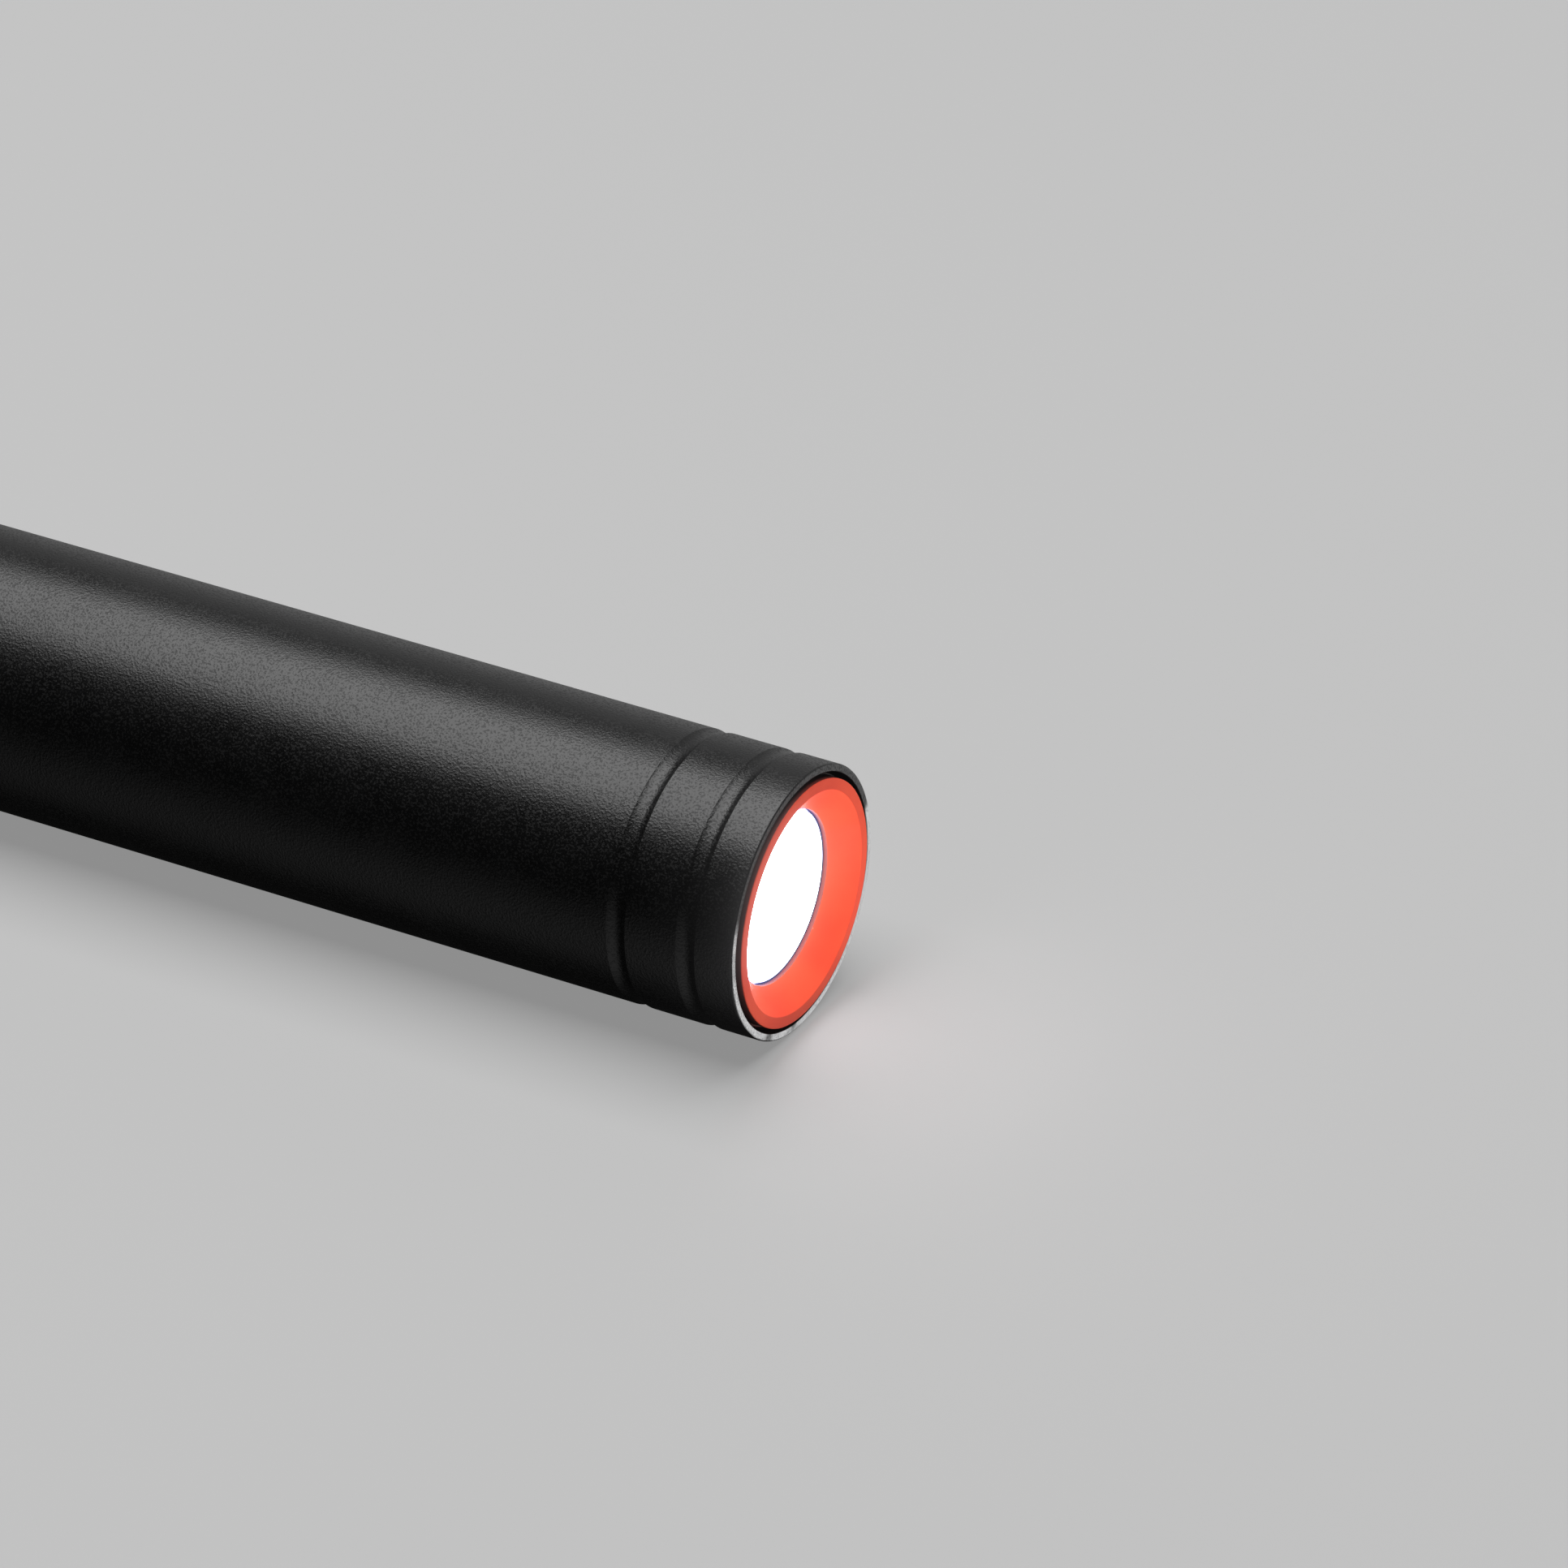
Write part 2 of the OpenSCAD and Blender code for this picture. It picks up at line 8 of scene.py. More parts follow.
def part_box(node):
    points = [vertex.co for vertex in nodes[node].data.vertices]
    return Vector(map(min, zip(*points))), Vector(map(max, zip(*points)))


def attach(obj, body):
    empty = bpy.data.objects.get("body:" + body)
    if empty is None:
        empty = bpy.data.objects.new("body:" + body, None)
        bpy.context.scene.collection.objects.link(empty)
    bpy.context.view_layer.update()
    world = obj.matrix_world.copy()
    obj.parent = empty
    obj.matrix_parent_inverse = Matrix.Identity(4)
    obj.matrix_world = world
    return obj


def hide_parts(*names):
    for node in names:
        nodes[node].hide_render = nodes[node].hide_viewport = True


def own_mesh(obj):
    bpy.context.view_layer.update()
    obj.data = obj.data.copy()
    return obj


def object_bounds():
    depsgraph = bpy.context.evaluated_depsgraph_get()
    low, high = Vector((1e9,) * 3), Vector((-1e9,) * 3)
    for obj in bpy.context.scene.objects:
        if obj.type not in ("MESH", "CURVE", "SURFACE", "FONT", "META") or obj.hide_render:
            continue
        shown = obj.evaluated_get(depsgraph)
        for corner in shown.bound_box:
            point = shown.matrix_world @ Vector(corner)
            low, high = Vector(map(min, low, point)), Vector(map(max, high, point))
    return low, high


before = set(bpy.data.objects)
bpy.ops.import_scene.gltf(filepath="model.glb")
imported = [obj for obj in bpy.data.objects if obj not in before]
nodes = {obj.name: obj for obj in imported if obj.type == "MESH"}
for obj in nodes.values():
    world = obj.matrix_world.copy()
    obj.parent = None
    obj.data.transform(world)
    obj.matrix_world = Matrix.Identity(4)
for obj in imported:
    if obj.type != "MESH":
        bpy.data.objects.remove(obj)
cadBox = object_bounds()
scene = bpy.context.scene
mm = 0.001

# places that the solids give, in mm as all the pieces' own settings: the pieces are drawn to these
sleeveBack, sleeveFront = (corner.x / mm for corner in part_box("head_sleeve"))
barrelBack, barrelFront = (corner.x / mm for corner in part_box("barrel"))
capBack, capFront = (corner.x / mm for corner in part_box("tail_cap"))
bezelBack, bezelFront = (corner.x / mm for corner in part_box("bezel_ring"))
lensBack, lensFront = (corner.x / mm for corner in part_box("lens"))
buttonBack, buttonFront = (corner.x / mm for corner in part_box("tail_button"))
clipBack, clipTip = (corner.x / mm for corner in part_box("pocket_clip"))
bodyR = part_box("head_sleeve")[1].z / mm
print("frame loaded:", len(nodes), "nodes, tube radius", round(bodyR, 3), "mm")


# camera, floor and light

cameraFit = dict(
    azimuth=29.09,          # degrees, 0 looks along +Y
    elevation=31.1,
    rimAt=(0.9215, 5.975, 421.46),   # mm right of, below and in front of the lens
    focal=192.6, sensor=36,          # mm
    clipStart=0.01,         # m
)


def makeCamera(fit):
    a, e = math.radians(fit["azimuth"]), math.radians(fit["elevation"])
    back = Vector((math.sin(a) * math.cos(e), -math.cos(a) * math.cos(e), math.sin(e)))
    right = Vector((math.cos(a), math.sin(a), 0))
    up = back.cross(right)
    across, below, ahead = (v * mm for v in fit["rimAt"])
    rim = Vector((sleeveFront * mm, 0, 0))
    eye = rim - right * across + up * below + back * ahead
    data = bpy.data.cameras.new("camera")
    data.lens, data.sensor_width, data.clip_start = fit["focal"], fit["sensor"], fit["clipStart"]
    camera = bpy.data.objects.new("camera", data)
    turn = Matrix((right, up, back)).transposed().to_4x4()
    camera.matrix_world = Matrix.Translation(eye) @ turn
    scene.collection.objects.link(camera)
    scene.camera = camera


floorLook = dict(
    color=(0.20, 0.20, 0.20), rough=0.9, specular=0.1,
    glow=0.27,              # keeps the far floor and the shadow pale
    half=3.0,               # m
)


def makeFloor(cfg):
    half, level = cfg["half"], cadBox[0].z
    mesh = bpy.data.meshes.new("floor")
    corners = [(-half, -half, level), (half, -half, level), (half, half, level), (-half, half, level)]
    mesh.from_pydata(corners, [], [(0, 1, 2, 3)])
    floor = bpy.data.objects.new("floor", mesh)
    scene.collection.objects.link(floor)
    floor.visible_glossy = False          # the tube's underside mirrors the dim room
    material = bpy.data.materials.new("paleFloor")
    material.use_nodes = True
    shader = material.node_tree.nodes["Principled BSDF"]
    shader.inputs["Base Color"].default_value = (*cfg["color"], 1)
    shader.inputs["Roughness"].default_value = cfg["rough"]
    shader.inputs["Specular IOR Level"].default_value = cfg["specular"]
    shader.inputs["Emission Color"].default_value = (1, 1, 1, 1)
    shader.inputs["Emission Strength"].default_value = cfg["glow"]
    mesh.materials.append(material)


# flat soft lights: the place they face, the way and the distance from there, and their size, in m
softbox = dict(
    aim=(sleeveFront * mm - 0.03, 0, 0), way=(-0.118, 0.05, 0.992), far=0.565,
    size=(0.755, 0.575), watts=6.2,
)
tableCard = dict(           # on the table ahead of the lens, for the bezel's cone
    aim=(0.1447, 0.003, 0), way=(0, 0, -1), far=0.0071,
    size=(0.0105, 0.014), watts=0.0027,
)


def makeLight(name, cfg):
    way = Vector(cfg["way"]).normalized()
    data = bpy.data.lights.new(name, "AREA")
    data.shape = "RECTANGLE"
    data.size, data.size_y = cfg["size"]         # along and across the tube
    data.energy = cfg["watts"]
    across = way.cross(Vector((1, 0, 0))).normalized()
    along = across.cross(way)
    light = bpy.data.objects.new(name, data)
    turn = Matrix((along, across, way)).transposed().to_4x4()
    light.matrix_world = Matrix.Translation(Vector(cfg["aim"]) + way * cfg["far"]) @ turn
    light.visible_camera = False
    scene.collection.objects.link(light)
    return light


studio = dict(
    glows=(                 # each fades in from one cosine of the angle to its middle to another
        dict(way=(0.05, 1, 0.09), start=0.50, full=0.95, strength=0.54),          # behind the light
        dict(way=(0.15, -0.71, -0.68), start=0.66, full=1.0, strength=0.52),      # low in front of it
        dict(way=(0.416, 0.748, -0.517), start=0.86, full=1.0, strength=0.70),    # for the rim and the lip
        dict(way=(0.68, 0.72, -0.10), start=0.91, full=1.0, strength=0.55),       # for the tube's far side
    ),
    room=0.012,             # from all round
    backdrop=0.32,          # what the camera sees beyond the floor
)


def makeWorld(cfg):
    world = bpy.data.worlds.new("studio")
    scene.world = world
    world.use_nodes = True
    tree = world.node_tree
    tree.nodes.clear()
    looking = tree.nodes.new("ShaderNodeTexCoord").outputs["Generated"]

    def lobe(way, start, full, strength):
        dot = tree.nodes.new("ShaderNodeVectorMath")
        dot.operation = "DOT_PRODUCT"
        dot.inputs[1].default_value = Vector(way).normalized()
        tree.links.new(looking, dot.inputs[0])
        fade = tree.nodes.new("ShaderNodeMapRange")
        fade.interpolation_type = "SMOOTHSTEP"
        fade.inputs["From Min"].default_value, fade.inputs["From Max"].default_value = start, full
        fade.inputs["To Max"].default_value = strength
        tree.links.new(dot.outputs["Value"], fade.inputs["Value"])
        return fade.outputs["Result"]

    total = None
    for glow in cfg["glows"]:
        plus = tree.nodes.new("ShaderNodeMath")
        plus.inputs[0].default_value = cfg["room"]
        if total:
            tree.links.new(total, plus.inputs[0])
        tree.links.new(lobe(**glow), plus.inputs[1])
        total = plus.outputs[0]
    mix = tree.nodes.new("ShaderNodeMix")
    mix.inputs["B"].default_value = cfg["backdrop"]
    tree.links.new(tree.nodes.new("ShaderNodeLightPath").outputs["Is Camera Ray"], mix.inputs["Factor"])
    tree.links.new(total, mix.inputs["A"])
    sky = tree.nodes.new("ShaderNodeBackground")
    tree.links.new(mix.outputs["Result"], sky.inputs["Strength"])
    tree.links.new(sky.outputs[0], tree.nodes.new("ShaderNodeOutputWorld").inputs["Surface"])


lensBloom = {"Threshold": 1.5, "Strength": 0.05, "Size": 0.12}


def makeBloom(cfg):            # the soft glow that a lens lit this brightly leaves in a picture
    scene.use_nodes = True
    tree = scene.node_tree
    tree.nodes.clear()
    shot = tree.nodes.new("CompositorNodeRLayers")
    bloom = tree.nodes.new("CompositorNodeGlare")
    bloom.glare_type, bloom.quality = "BLOOM", "HIGH"
    for key, value in cfg.items():
        bloom.inputs[key].default_value = value
    tree.links.new(shot.outputs["Image"], bloom.inputs["Image"])
    tree.links.new(bloom.outputs["Image"], tree.nodes.new("CompositorNodeComposite").inputs["Image"])


scene.view_settings.view_transform = "Standard"
makeCamera(cameraFit)
makeFloor(floorLook)
makeLight("softbox", softbox)
makeLight("tableCard", tableCard).visible_glossy = False
makeWorld(studio)
makeBloom(lensBloom)
print("camera, floor and light set")


# shared shader effects

def newGroup(name, inputs, outputs):
    group = bpy.data.node_groups.new(name, "ShaderNodeTree")
    for label, kind, value in inputs:
        socket = group.interface.new_socket(label, in_out="INPUT", socket_type="NodeSocket" + kind)
        if value is not None:
            socket.default_value = value
    for label, kind in outputs:
        group.interface.new_socket(label, in_out="OUTPUT", socket_type="NodeSocket" + kind)
    return group, group.nodes.new("NodeGroupInput"), group.nodes.new("NodeGroupOutput")


def feed(tree, socket, value):         # a link or a fixed value
    if isinstance(value, bpy.types.NodeSocket):
        tree.links.new(value, socket)
    else:
        socket.default_value = value


def add(tree, kind, values=(), **settings):
    made = tree.nodes.new("ShaderNode" + kind)
    for key, value in settings.items():
        setattr(made, key, value)
    for key, value in dict(values).items():
        feed(tree, made.inputs[key], value)
    return made


def use(tree, group, values):
    return add(tree, "Group", values, node_tree=group).outputs


def maths(tree, operation, a, b=0.0):
    return add(tree, "Math", {0: a, 1: b}, operation=operation).outputs[0]


def ramp(tree, value, low, high, toLow=0.0, toHigh=1.0):
    return add(tree, "MapRange", {
        "Value": value, "From Min": low, "From Max": high, "To Min": toLow, "To Max": toHigh,
    }, interpolation_type="SMOOTHSTEP").outputs["Result"]


def mixColor(tree, mask, a, b):
    made = add(tree, "Mix", data_type="RGBA")
    feed(tree, made.inputs[0], mask)
    for socket, color in ((made.inputs[6], a), (made.inputs[7], b)):
        feed(tree, socket, (*color, 1) if isinstance(color, tuple) else color)
    return made.outputs[2]


def bump(tree, shader, height, distance):
    made = add(tree, "Bump", {"Height": height, "Distance": distance, "Strength": 1.0})
    tree.links.new(made.outputs["Normal"], shader.inputs["Normal"])


grainMake = dict(
    peelScale=0.42, peelShare=0.35,      # slower bumps under the fine ones
    patchScale=0.06,
    pit=(0.50, 0.38), speck=(0.05, 0.09, 1.0, 0.0),
)


def makeFineGrain(cfg):    # blasted grain: small bumps, slow patches, and rare pale specks
    tree, put, out = newGroup("fineGrain", [
        ("Coords", "Vector", None), ("Grains per m", "Float", 4200.0),
        ("Specks per m", "Float", 420.0), ("Rare", "Float", 0.93),
    ], [("Height", "Float"), ("Patch", "Float"), ("Pit", "Float"), ("Speck", "Float")])
    coords, scale = put.outputs["Coords"], put.outputs["Grains per m"]
    fine = add(tree, "TexNoise", {"Vector": coords, "Scale": scale, "Detail": 1.0, "Roughness": 0.5})
    peelScale = maths(tree, "MULTIPLY", scale, cfg["peelScale"])
    peel = add(tree, "TexNoise", {"Vector": coords, "Scale": peelScale, "Detail": 1.0})
    peelPart = maths(tree, "MULTIPLY", peel.outputs["Fac"], cfg["peelShare"])
    tree.links.new(maths(tree, "ADD", fine.outputs["Fac"], peelPart), out.inputs["Height"])
    tree.links.new(ramp(tree, fine.outputs["Fac"], *cfg["pit"]), out.inputs["Pit"])
    patchScale = maths(tree, "MULTIPLY", scale, cfg["patchScale"])
    patch = add(tree, "TexNoise", {"Vector": coords, "Scale": patchScale, "Detail": 3.0})
    tree.links.new(patch.outputs["Fac"], out.inputs["Patch"])
    cells = add(tree, "TexVoronoi", {"Vector": coords, "Scale": put.outputs["Specks per m"]})
    dot = ramp(tree, cells.outputs["Distance"], *cfg["speck"])
    pick = add(tree, "SeparateColor", {"Color": cells.outputs["Color"]}).outputs["Red"]
    rare = maths(tree, "GREATER_THAN", pick, put.outputs["Rare"])
    tree.links.new(maths(tree, "MULTIPLY", dot, rare), out.inputs["Speck"])
    return tree


def makeWornEdge(wearBand):        # wear along sharp edges, broken up by noise
    tree, put, out = newGroup("wornEdge", [
        ("Edge", "Float", 0.0), ("Coords", "Vector", None),
        ("Breaks per m", "Float", 900.0), ("Amount", "Float", 0.5),
    ], [("Wear", "Float")])
    coords, scale = put.outputs["Coords"], put.outputs["Breaks per m"]
    breaks = add(tree, "TexNoise", {"Vector": coords, "Scale": scale, "Detail": 4.0})
    lifted = maths(tree, "ADD", breaks.outputs["Fac"], put.outputs["Amount"])
    worn = ramp(tree, maths(tree, "MULTIPLY", lifted, put.outputs["Edge"]), *wearBand)
    tree.links.new(worn, out.inputs["Wear"])
    return tree


turnedMake = dict(squeeze=(1.0, 0.02, 0.02), streakScale=0.15)


def makeTurnedMarks(cfg):          # fine rings left by the lathe tool, across the axis
    tree, put, out = newGroup("turnedMarks", [
        ("Coords", "Vector", None), ("Rings per m", "Float", 9000.0),
    ], [("Height", "Float"), ("Streak", "Float")])
    scale = put.outputs["Rings per m"]
    squeezed = add(tree, "VectorMath", {
        0: put.outputs["Coords"], 1: cfg["squeeze"],
    }, operation="MULTIPLY").outputs[0]
    rings = add(tree, "TexNoise", {"Vector": squeezed, "Scale": scale, "Detail": 2.0})
    tree.links.new(rings.outputs["Fac"], out.inputs["Height"])
    streakScale = maths(tree, "MULTIPLY", scale, cfg["streakScale"])
    slow = add(tree, "TexNoise", {"Vector": squeezed, "Scale": streakScale})
    tree.links.new(slow.outputs["Fac"], out.inputs["Streak"])
    return tree


fineGrain = makeFineGrain(grainMake)
wornEdge = makeWornEdge((0.55, 0.95))
turnedMarks = makeTurnedMarks(turnedMake)


def newMaterial(name, fixed):
    material = bpy.data.materials.new(name)
    material.use_nodes = True
    tree = material.node_tree
    shader = tree.nodes["Principled BSDF"]
    for key, value in fixed.items():
        shader.inputs[key].default_value = value
    coords = tree.nodes.new("ShaderNodeTexCoord").outputs["Object"]
    return material, tree, shader, coords


# finishes

colorBand, roughBand = (0.3, 0.7), (0.25, 0.75)      # where a slow noise turns one value into the other

blackFinish = dict(
    dark=(0.0016, 0.0016, 0.0017), pale=(0.0026, 0.0026, 0.0027),
    speck=(0.11, 0.11, 0.11), worn=(0.84, 0.845, 0.85),
    grains=8200.0, grainDepth=0.000020,      # per m, m
    rough=(0.285, 0.315), pitRough=0.20, specular=0.42,
    breaks=700.0, amount=0.28,
)
clipFinish = dict(
    blackFinish, dark=(0.0040, 0.0040, 0.0043), pale=(0.0062, 0.0062, 0.0065),
    grains=3000.0, grainDepth=0.000003,
    rough=(0.27, 0.33), pitRough=0.05, specular=0.5,
    amount=0.22,
)


def makeBlackMetal(name, cfg):
    material, tree, shader, coords = newMaterial(name, {"Specular IOR Level": cfg["specular"]})
    grain = use(tree, fineGrain, {"Coords": coords, "Grains per m": cfg["grains"]})
    edge = add(tree, "Attribute", attribute_name="edge").outputs["Fac"]
    wear = use(tree, wornEdge, {
        "Edge": edge, "Coords": coords, "Breaks per m": cfg["breaks"], "Amount": cfg["amount"],
    })["Wear"]
    color = mixColor(tree, ramp(tree, grain["Patch"], *colorBand), cfg["dark"], cfg["pale"])
    color = mixColor(tree, grain["Speck"], color, cfg["speck"])
    color = mixColor(tree, wear, color, cfg["worn"])
    tree.links.new(color, shader.inputs["Base Color"])
    tree.links.new(wear, shader.inputs["Metallic"])
    rough = ramp(tree, grain["Patch"], *roughBand, *cfg["rough"])
    rough = maths(tree, "ADD", rough, maths(tree, "MULTIPLY", grain["Pit"], cfg["pitRough"]))
    tree.links.new(rough, shader.inputs["Roughness"])
    bump(tree, shader, grain["Height"], cfg["grainDepth"])
    return material


orangeFinish = dict(
    deep=(0.78, 0.061, 0.024), light=(0.84, 0.080, 0.031),
    # nick: rare pale nicks; paintedShade: a dark red painted as shade in the bezel's gap and throat
    nick=(0.95, 0.42, 0.30), paintedShade=(0.085, 0.010, 0.006),
    rings=7000.0, ringDepth=0.000004,        # per m, m
    rough=(0.46, 0.58), specular=0.35,
    grains=5200.0, nicks=1500.0, rare=0.955,
    paintedShadeBand=(0.1, 0.5, 0.75, 1.0),
)


def makeOrangeAnodised(cfg):
    material, tree, shader, coords = newMaterial("orangeAnodised", {"Specular IOR Level": cfg["specular"]})
    marks = use(tree, turnedMarks, {"Coords": coords, "Rings per m": cfg["rings"]})
    grain = use(tree, fineGrain, {
        "Coords": coords, "Grains per m": cfg["grains"], "Specks per m": cfg["nicks"], "Rare": cfg["rare"],
    })
    color = mixColor(tree, ramp(tree, grain["Patch"], *colorBand), cfg["deep"], cfg["light"])
    color = mixColor(tree, grain["Speck"], color, cfg["nick"])
    # painted shade: the bezel's gap and throat mask, broken up by slow patches, darkens the orange towards a
    # dark red
    gap = add(tree, "Attribute", attribute_name="edge").outputs["Fac"]
    paintedShadeMix = maths(tree, "MULTIPLY", gap, ramp(tree, grain["Patch"], *cfg["paintedShadeBand"]))
    color = mixColor(tree, paintedShadeMix, color, cfg["paintedShade"])
    tree.links.new(color, shader.inputs["Base Color"])
    tree.links.new(ramp(tree, marks["Streak"], *colorBand, *cfg["rough"]), shader.inputs["Roughness"])
    bump(tree, shader, marks["Height"], cfg["ringDepth"])
    return material


lensFinish = dict(
    glass=(0.9, 0.92, 1.0, 1), rough=0.04,
    lit=(1.0, 1.0, 1.0), haze=(0.95, 0.94, 1.0), hazeBand=(0.5, 0.75), strength=6.0,
    fringe=(0.10, 0.11, 0.32), fringeFrom=4.43, fringeFull=4.50,   # mm from the axis
    grains=3000.0, waveDepth=0.000002,       # per m, m
)


def makeLitLens(cfg):
    material, tree, shader, coords = newMaterial("litLens", {
        "Base Color": cfg["glass"], "Roughness": cfg["rough"], "Emission Strength": cfg["strength"],
    })
    flat = add(tree, "VectorMath", {0: coords, 1: (0.0, 1.0, 1.0)}, operation="MULTIPLY").outputs[0]
    far = add(tree, "VectorMath", {0: flat}, operation="LENGTH").outputs["Value"]
    fringe = ramp(tree, far, cfg["fringeFrom"] * mm, cfg["fringeFull"] * mm)
    grain = use(tree, fineGrain, {"Coords": coords, "Grains per m": cfg["grains"]})
    haze = mixColor(tree, ramp(tree, grain["Patch"], *cfg["hazeBand"]), cfg["lit"], cfg["haze"])
    tree.links.new(mixColor(tree, fringe, haze, cfg["fringe"]), shader.inputs["Emission Color"])
    bump(tree, shader, grain["Patch"], cfg["waveDepth"])
    return material


# the finishes of small and inner pieces: two colours that a grain mixes, a band of roughness, grains per m
# and a bump depth in mm
plainFinishes = dict(
    blackRubber=dict(a=(0.010, 0.010, 0.0105), b=(0.018, 0.018, 0.0185), rough=(0.62, 0.78),
                     metal=0.0, grains=3600, depth=0.02),
    blackRing=dict(a=(0.010, 0.010, 0.011), b=(0.020, 0.020, 0.021), rough=(0.40, 0.52),
                   metal=0.0, grains=4000, depth=0.01),
    bareAluminium=dict(a=(0.60, 0.61, 0.62), b=(0.72, 0.73, 0.74), rough=(0.28, 0.40),
                       metal=1.0, grains=3000, depth=0.004),
    whiteBoard=dict(a=(0.74, 0.74, 0.71), b=(0.82, 0.82, 0.80), rough=(0.45, 0.60),
                    metal=0.0, grains=2400, depth=0.004),
    whiteCeramic=dict(a=(0.78, 0.77, 0.70), b=(0.86, 0.85, 0.80), rough=(0.40, 0.55),
                      metal=0.0, grains=5000, depth=0.004),
    phosphorDome=dict(a=(0.88, 0.74, 0.28), b=(0.93, 0.82, 0.40), rough=(0.10, 0.18),
                      metal=0.0, grains=1500, depth=0.001),
    redInsulation=dict(a=(0.42, 0.022, 0.018), b=(0.50, 0.035, 0.028), rough=(0.34, 0.46),
                       metal=0.0, grains=2600, depth=0.004),
    greenBoard=dict(a=(0.012, 0.085, 0.026), b=(0.020, 0.125, 0.040), rough=(0.30, 0.42),
                    metal=0.0, grains=1200, depth=0.006),
    blackMoulding=dict(a=(0.016, 0.016, 0.018), b=(0.028, 0.028, 0.030), rough=(0.50, 0.64),
                       metal=0.0, grains=3200, depth=0.012),
    brass=dict(a=(0.62, 0.39, 0.11), b=(0.72, 0.48, 0.16), rough=(0.24, 0.38),
               metal=1.0, grains=2400, depth=0.003),
    cellWrap=dict(a=(0.055, 0.075, 0.11), b=(0.075, 0.095, 0.13), rough=(0.22, 0.34),
                  metal=0.0, grains=900, depth=0.006),
    goldWire=dict(a=(0.78, 0.52, 0.18), b=(0.86, 0.60, 0.24), rough=(0.16, 0.26),
                  metal=1.0, grains=3000, depth=0.002),
    steelWire=dict(a=(0.48, 0.48, 0.49), b=(0.58, 0.58, 0.59), rough=(0.22, 0.34),
                   metal=1.0, grains=3000, depth=0.002),
    whiteNylon=dict(a=(0.72, 0.72, 0.69), b=(0.80, 0.80, 0.78), rough=(0.48, 0.62),
                    metal=0.0, grains=2600, depth=0.006),
)


def makePlain(name, cfg):
    material, tree, shader, coords = newMaterial(name, {"Metallic": cfg["metal"]})
    grain = use(tree, fineGrain, {"Coords": coords, "Grains per m": float(cfg["grains"])})
    color = mixColor(tree, ramp(tree, grain["Patch"], *colorBand), cfg["a"], cfg["b"])
    tree.links.new(color, shader.inputs["Base Color"])
    tree.links.new(ramp(tree, grain["Patch"], *roughBand, *cfg["rough"]), shader.inputs["Roughness"])
    bump(tree, shader, grain["Height"], cfg["depth"] * mm)
    return material


blackAnodised = makeBlackMetal("blackAnodised", blackFinish)
blackSteel = makeBlackMetal("blackSteel", clipFinish)
orangeAnodised = makeOrangeAnodised(orangeFinish)
litLens = makeLitLens(lensFinish)
plain = {name: makePlain(name, cfg) for name, cfg in plainFinishes.items()}
print("finishes made:", 4 + len(plain))


# surfaces

hairRound, innerRound, outerRound, bodyRound = 0.02, 0.03, 0.05, 0.08       # mm
cornerMake = dict(
    steps=8,
    margin=0.02, marginShare=0.3,        # mm, and of the flat that is left
    wearRound=0.4, wearTurn=0.65,        # mm and rad: gentle edges, as a groove's, do not wear
)


def roundCorners(corners, closed=True, cfg=cornerMake):
    # each corner (x, r, round) becomes an arc tangent to both its sides, found by turning one radius into
    # the other; a point just outside each end of the arc keeps the flats flat. The last column is 1 in the
    # middle of an outer edge
    c = np.array(corners, float)
    p, rad = c[:, :2], c[:, 2]
    before, after = np.roll(p, 1, 0) - p, np.roll(p, -1, 0) - p
    lenBefore, lenAfter = np.linalg.norm(before, axis=1), np.linalg.norm(after, axis=1)
    u, v = before / lenBefore[:, None], after / lenAfter[:, None]
    half = np.arccos(np.clip((u * v).sum(1), -1, 1)) / 2
    reach = rad / np.tan(half)
    middle = (u + v) / np.linalg.norm(u + v, axis=1)[:, None]
    centre = p + middle * (rad / np.sin(half))[:, None]
    bend = np.pi - 2 * half
    turn = bend[:, None, None]
    t = np.linspace(0, 1, cfg["steps"] + 1)[None, :, None]
    first, last = p + u * reach[:, None] - centre, p + v * reach[:, None] - centre
    arc = np.sin((1 - t) * turn) * first[:, None] + np.sin(t * turn) * last[:, None]
    arc = arc / np.sin(turn) + centre[:, None]
    spare = cfg["marginShare"] * (lenAfter - reach - np.roll(reach, -1))
    ahead, behind = np.minimum(cfg["margin"], spare), np.minimum(cfg["margin"], np.roll(spare, 1))
    run = np.concatenate([
        (p + u * (reach + behind)[:, None])[:, None], arc, (p + v * (reach + ahead)[:, None])[:, None],
    ], 1)
    outer = (u[:, 0] * v[:, 1] - u[:, 1] * v[:, 0]) > 0
    sharp = outer & (rad < cfg["wearRound"]) & (bend > cfg["wearTurn"])
    edge = np.concatenate([[0], np.sin(np.pi * t.ravel()), [0]])[None] * sharp[:, None]
    run = np.concatenate([run, edge[:, :, None]], 2)
    if not closed:
        run = run[1:-1]
    return run.reshape(-1, 3)


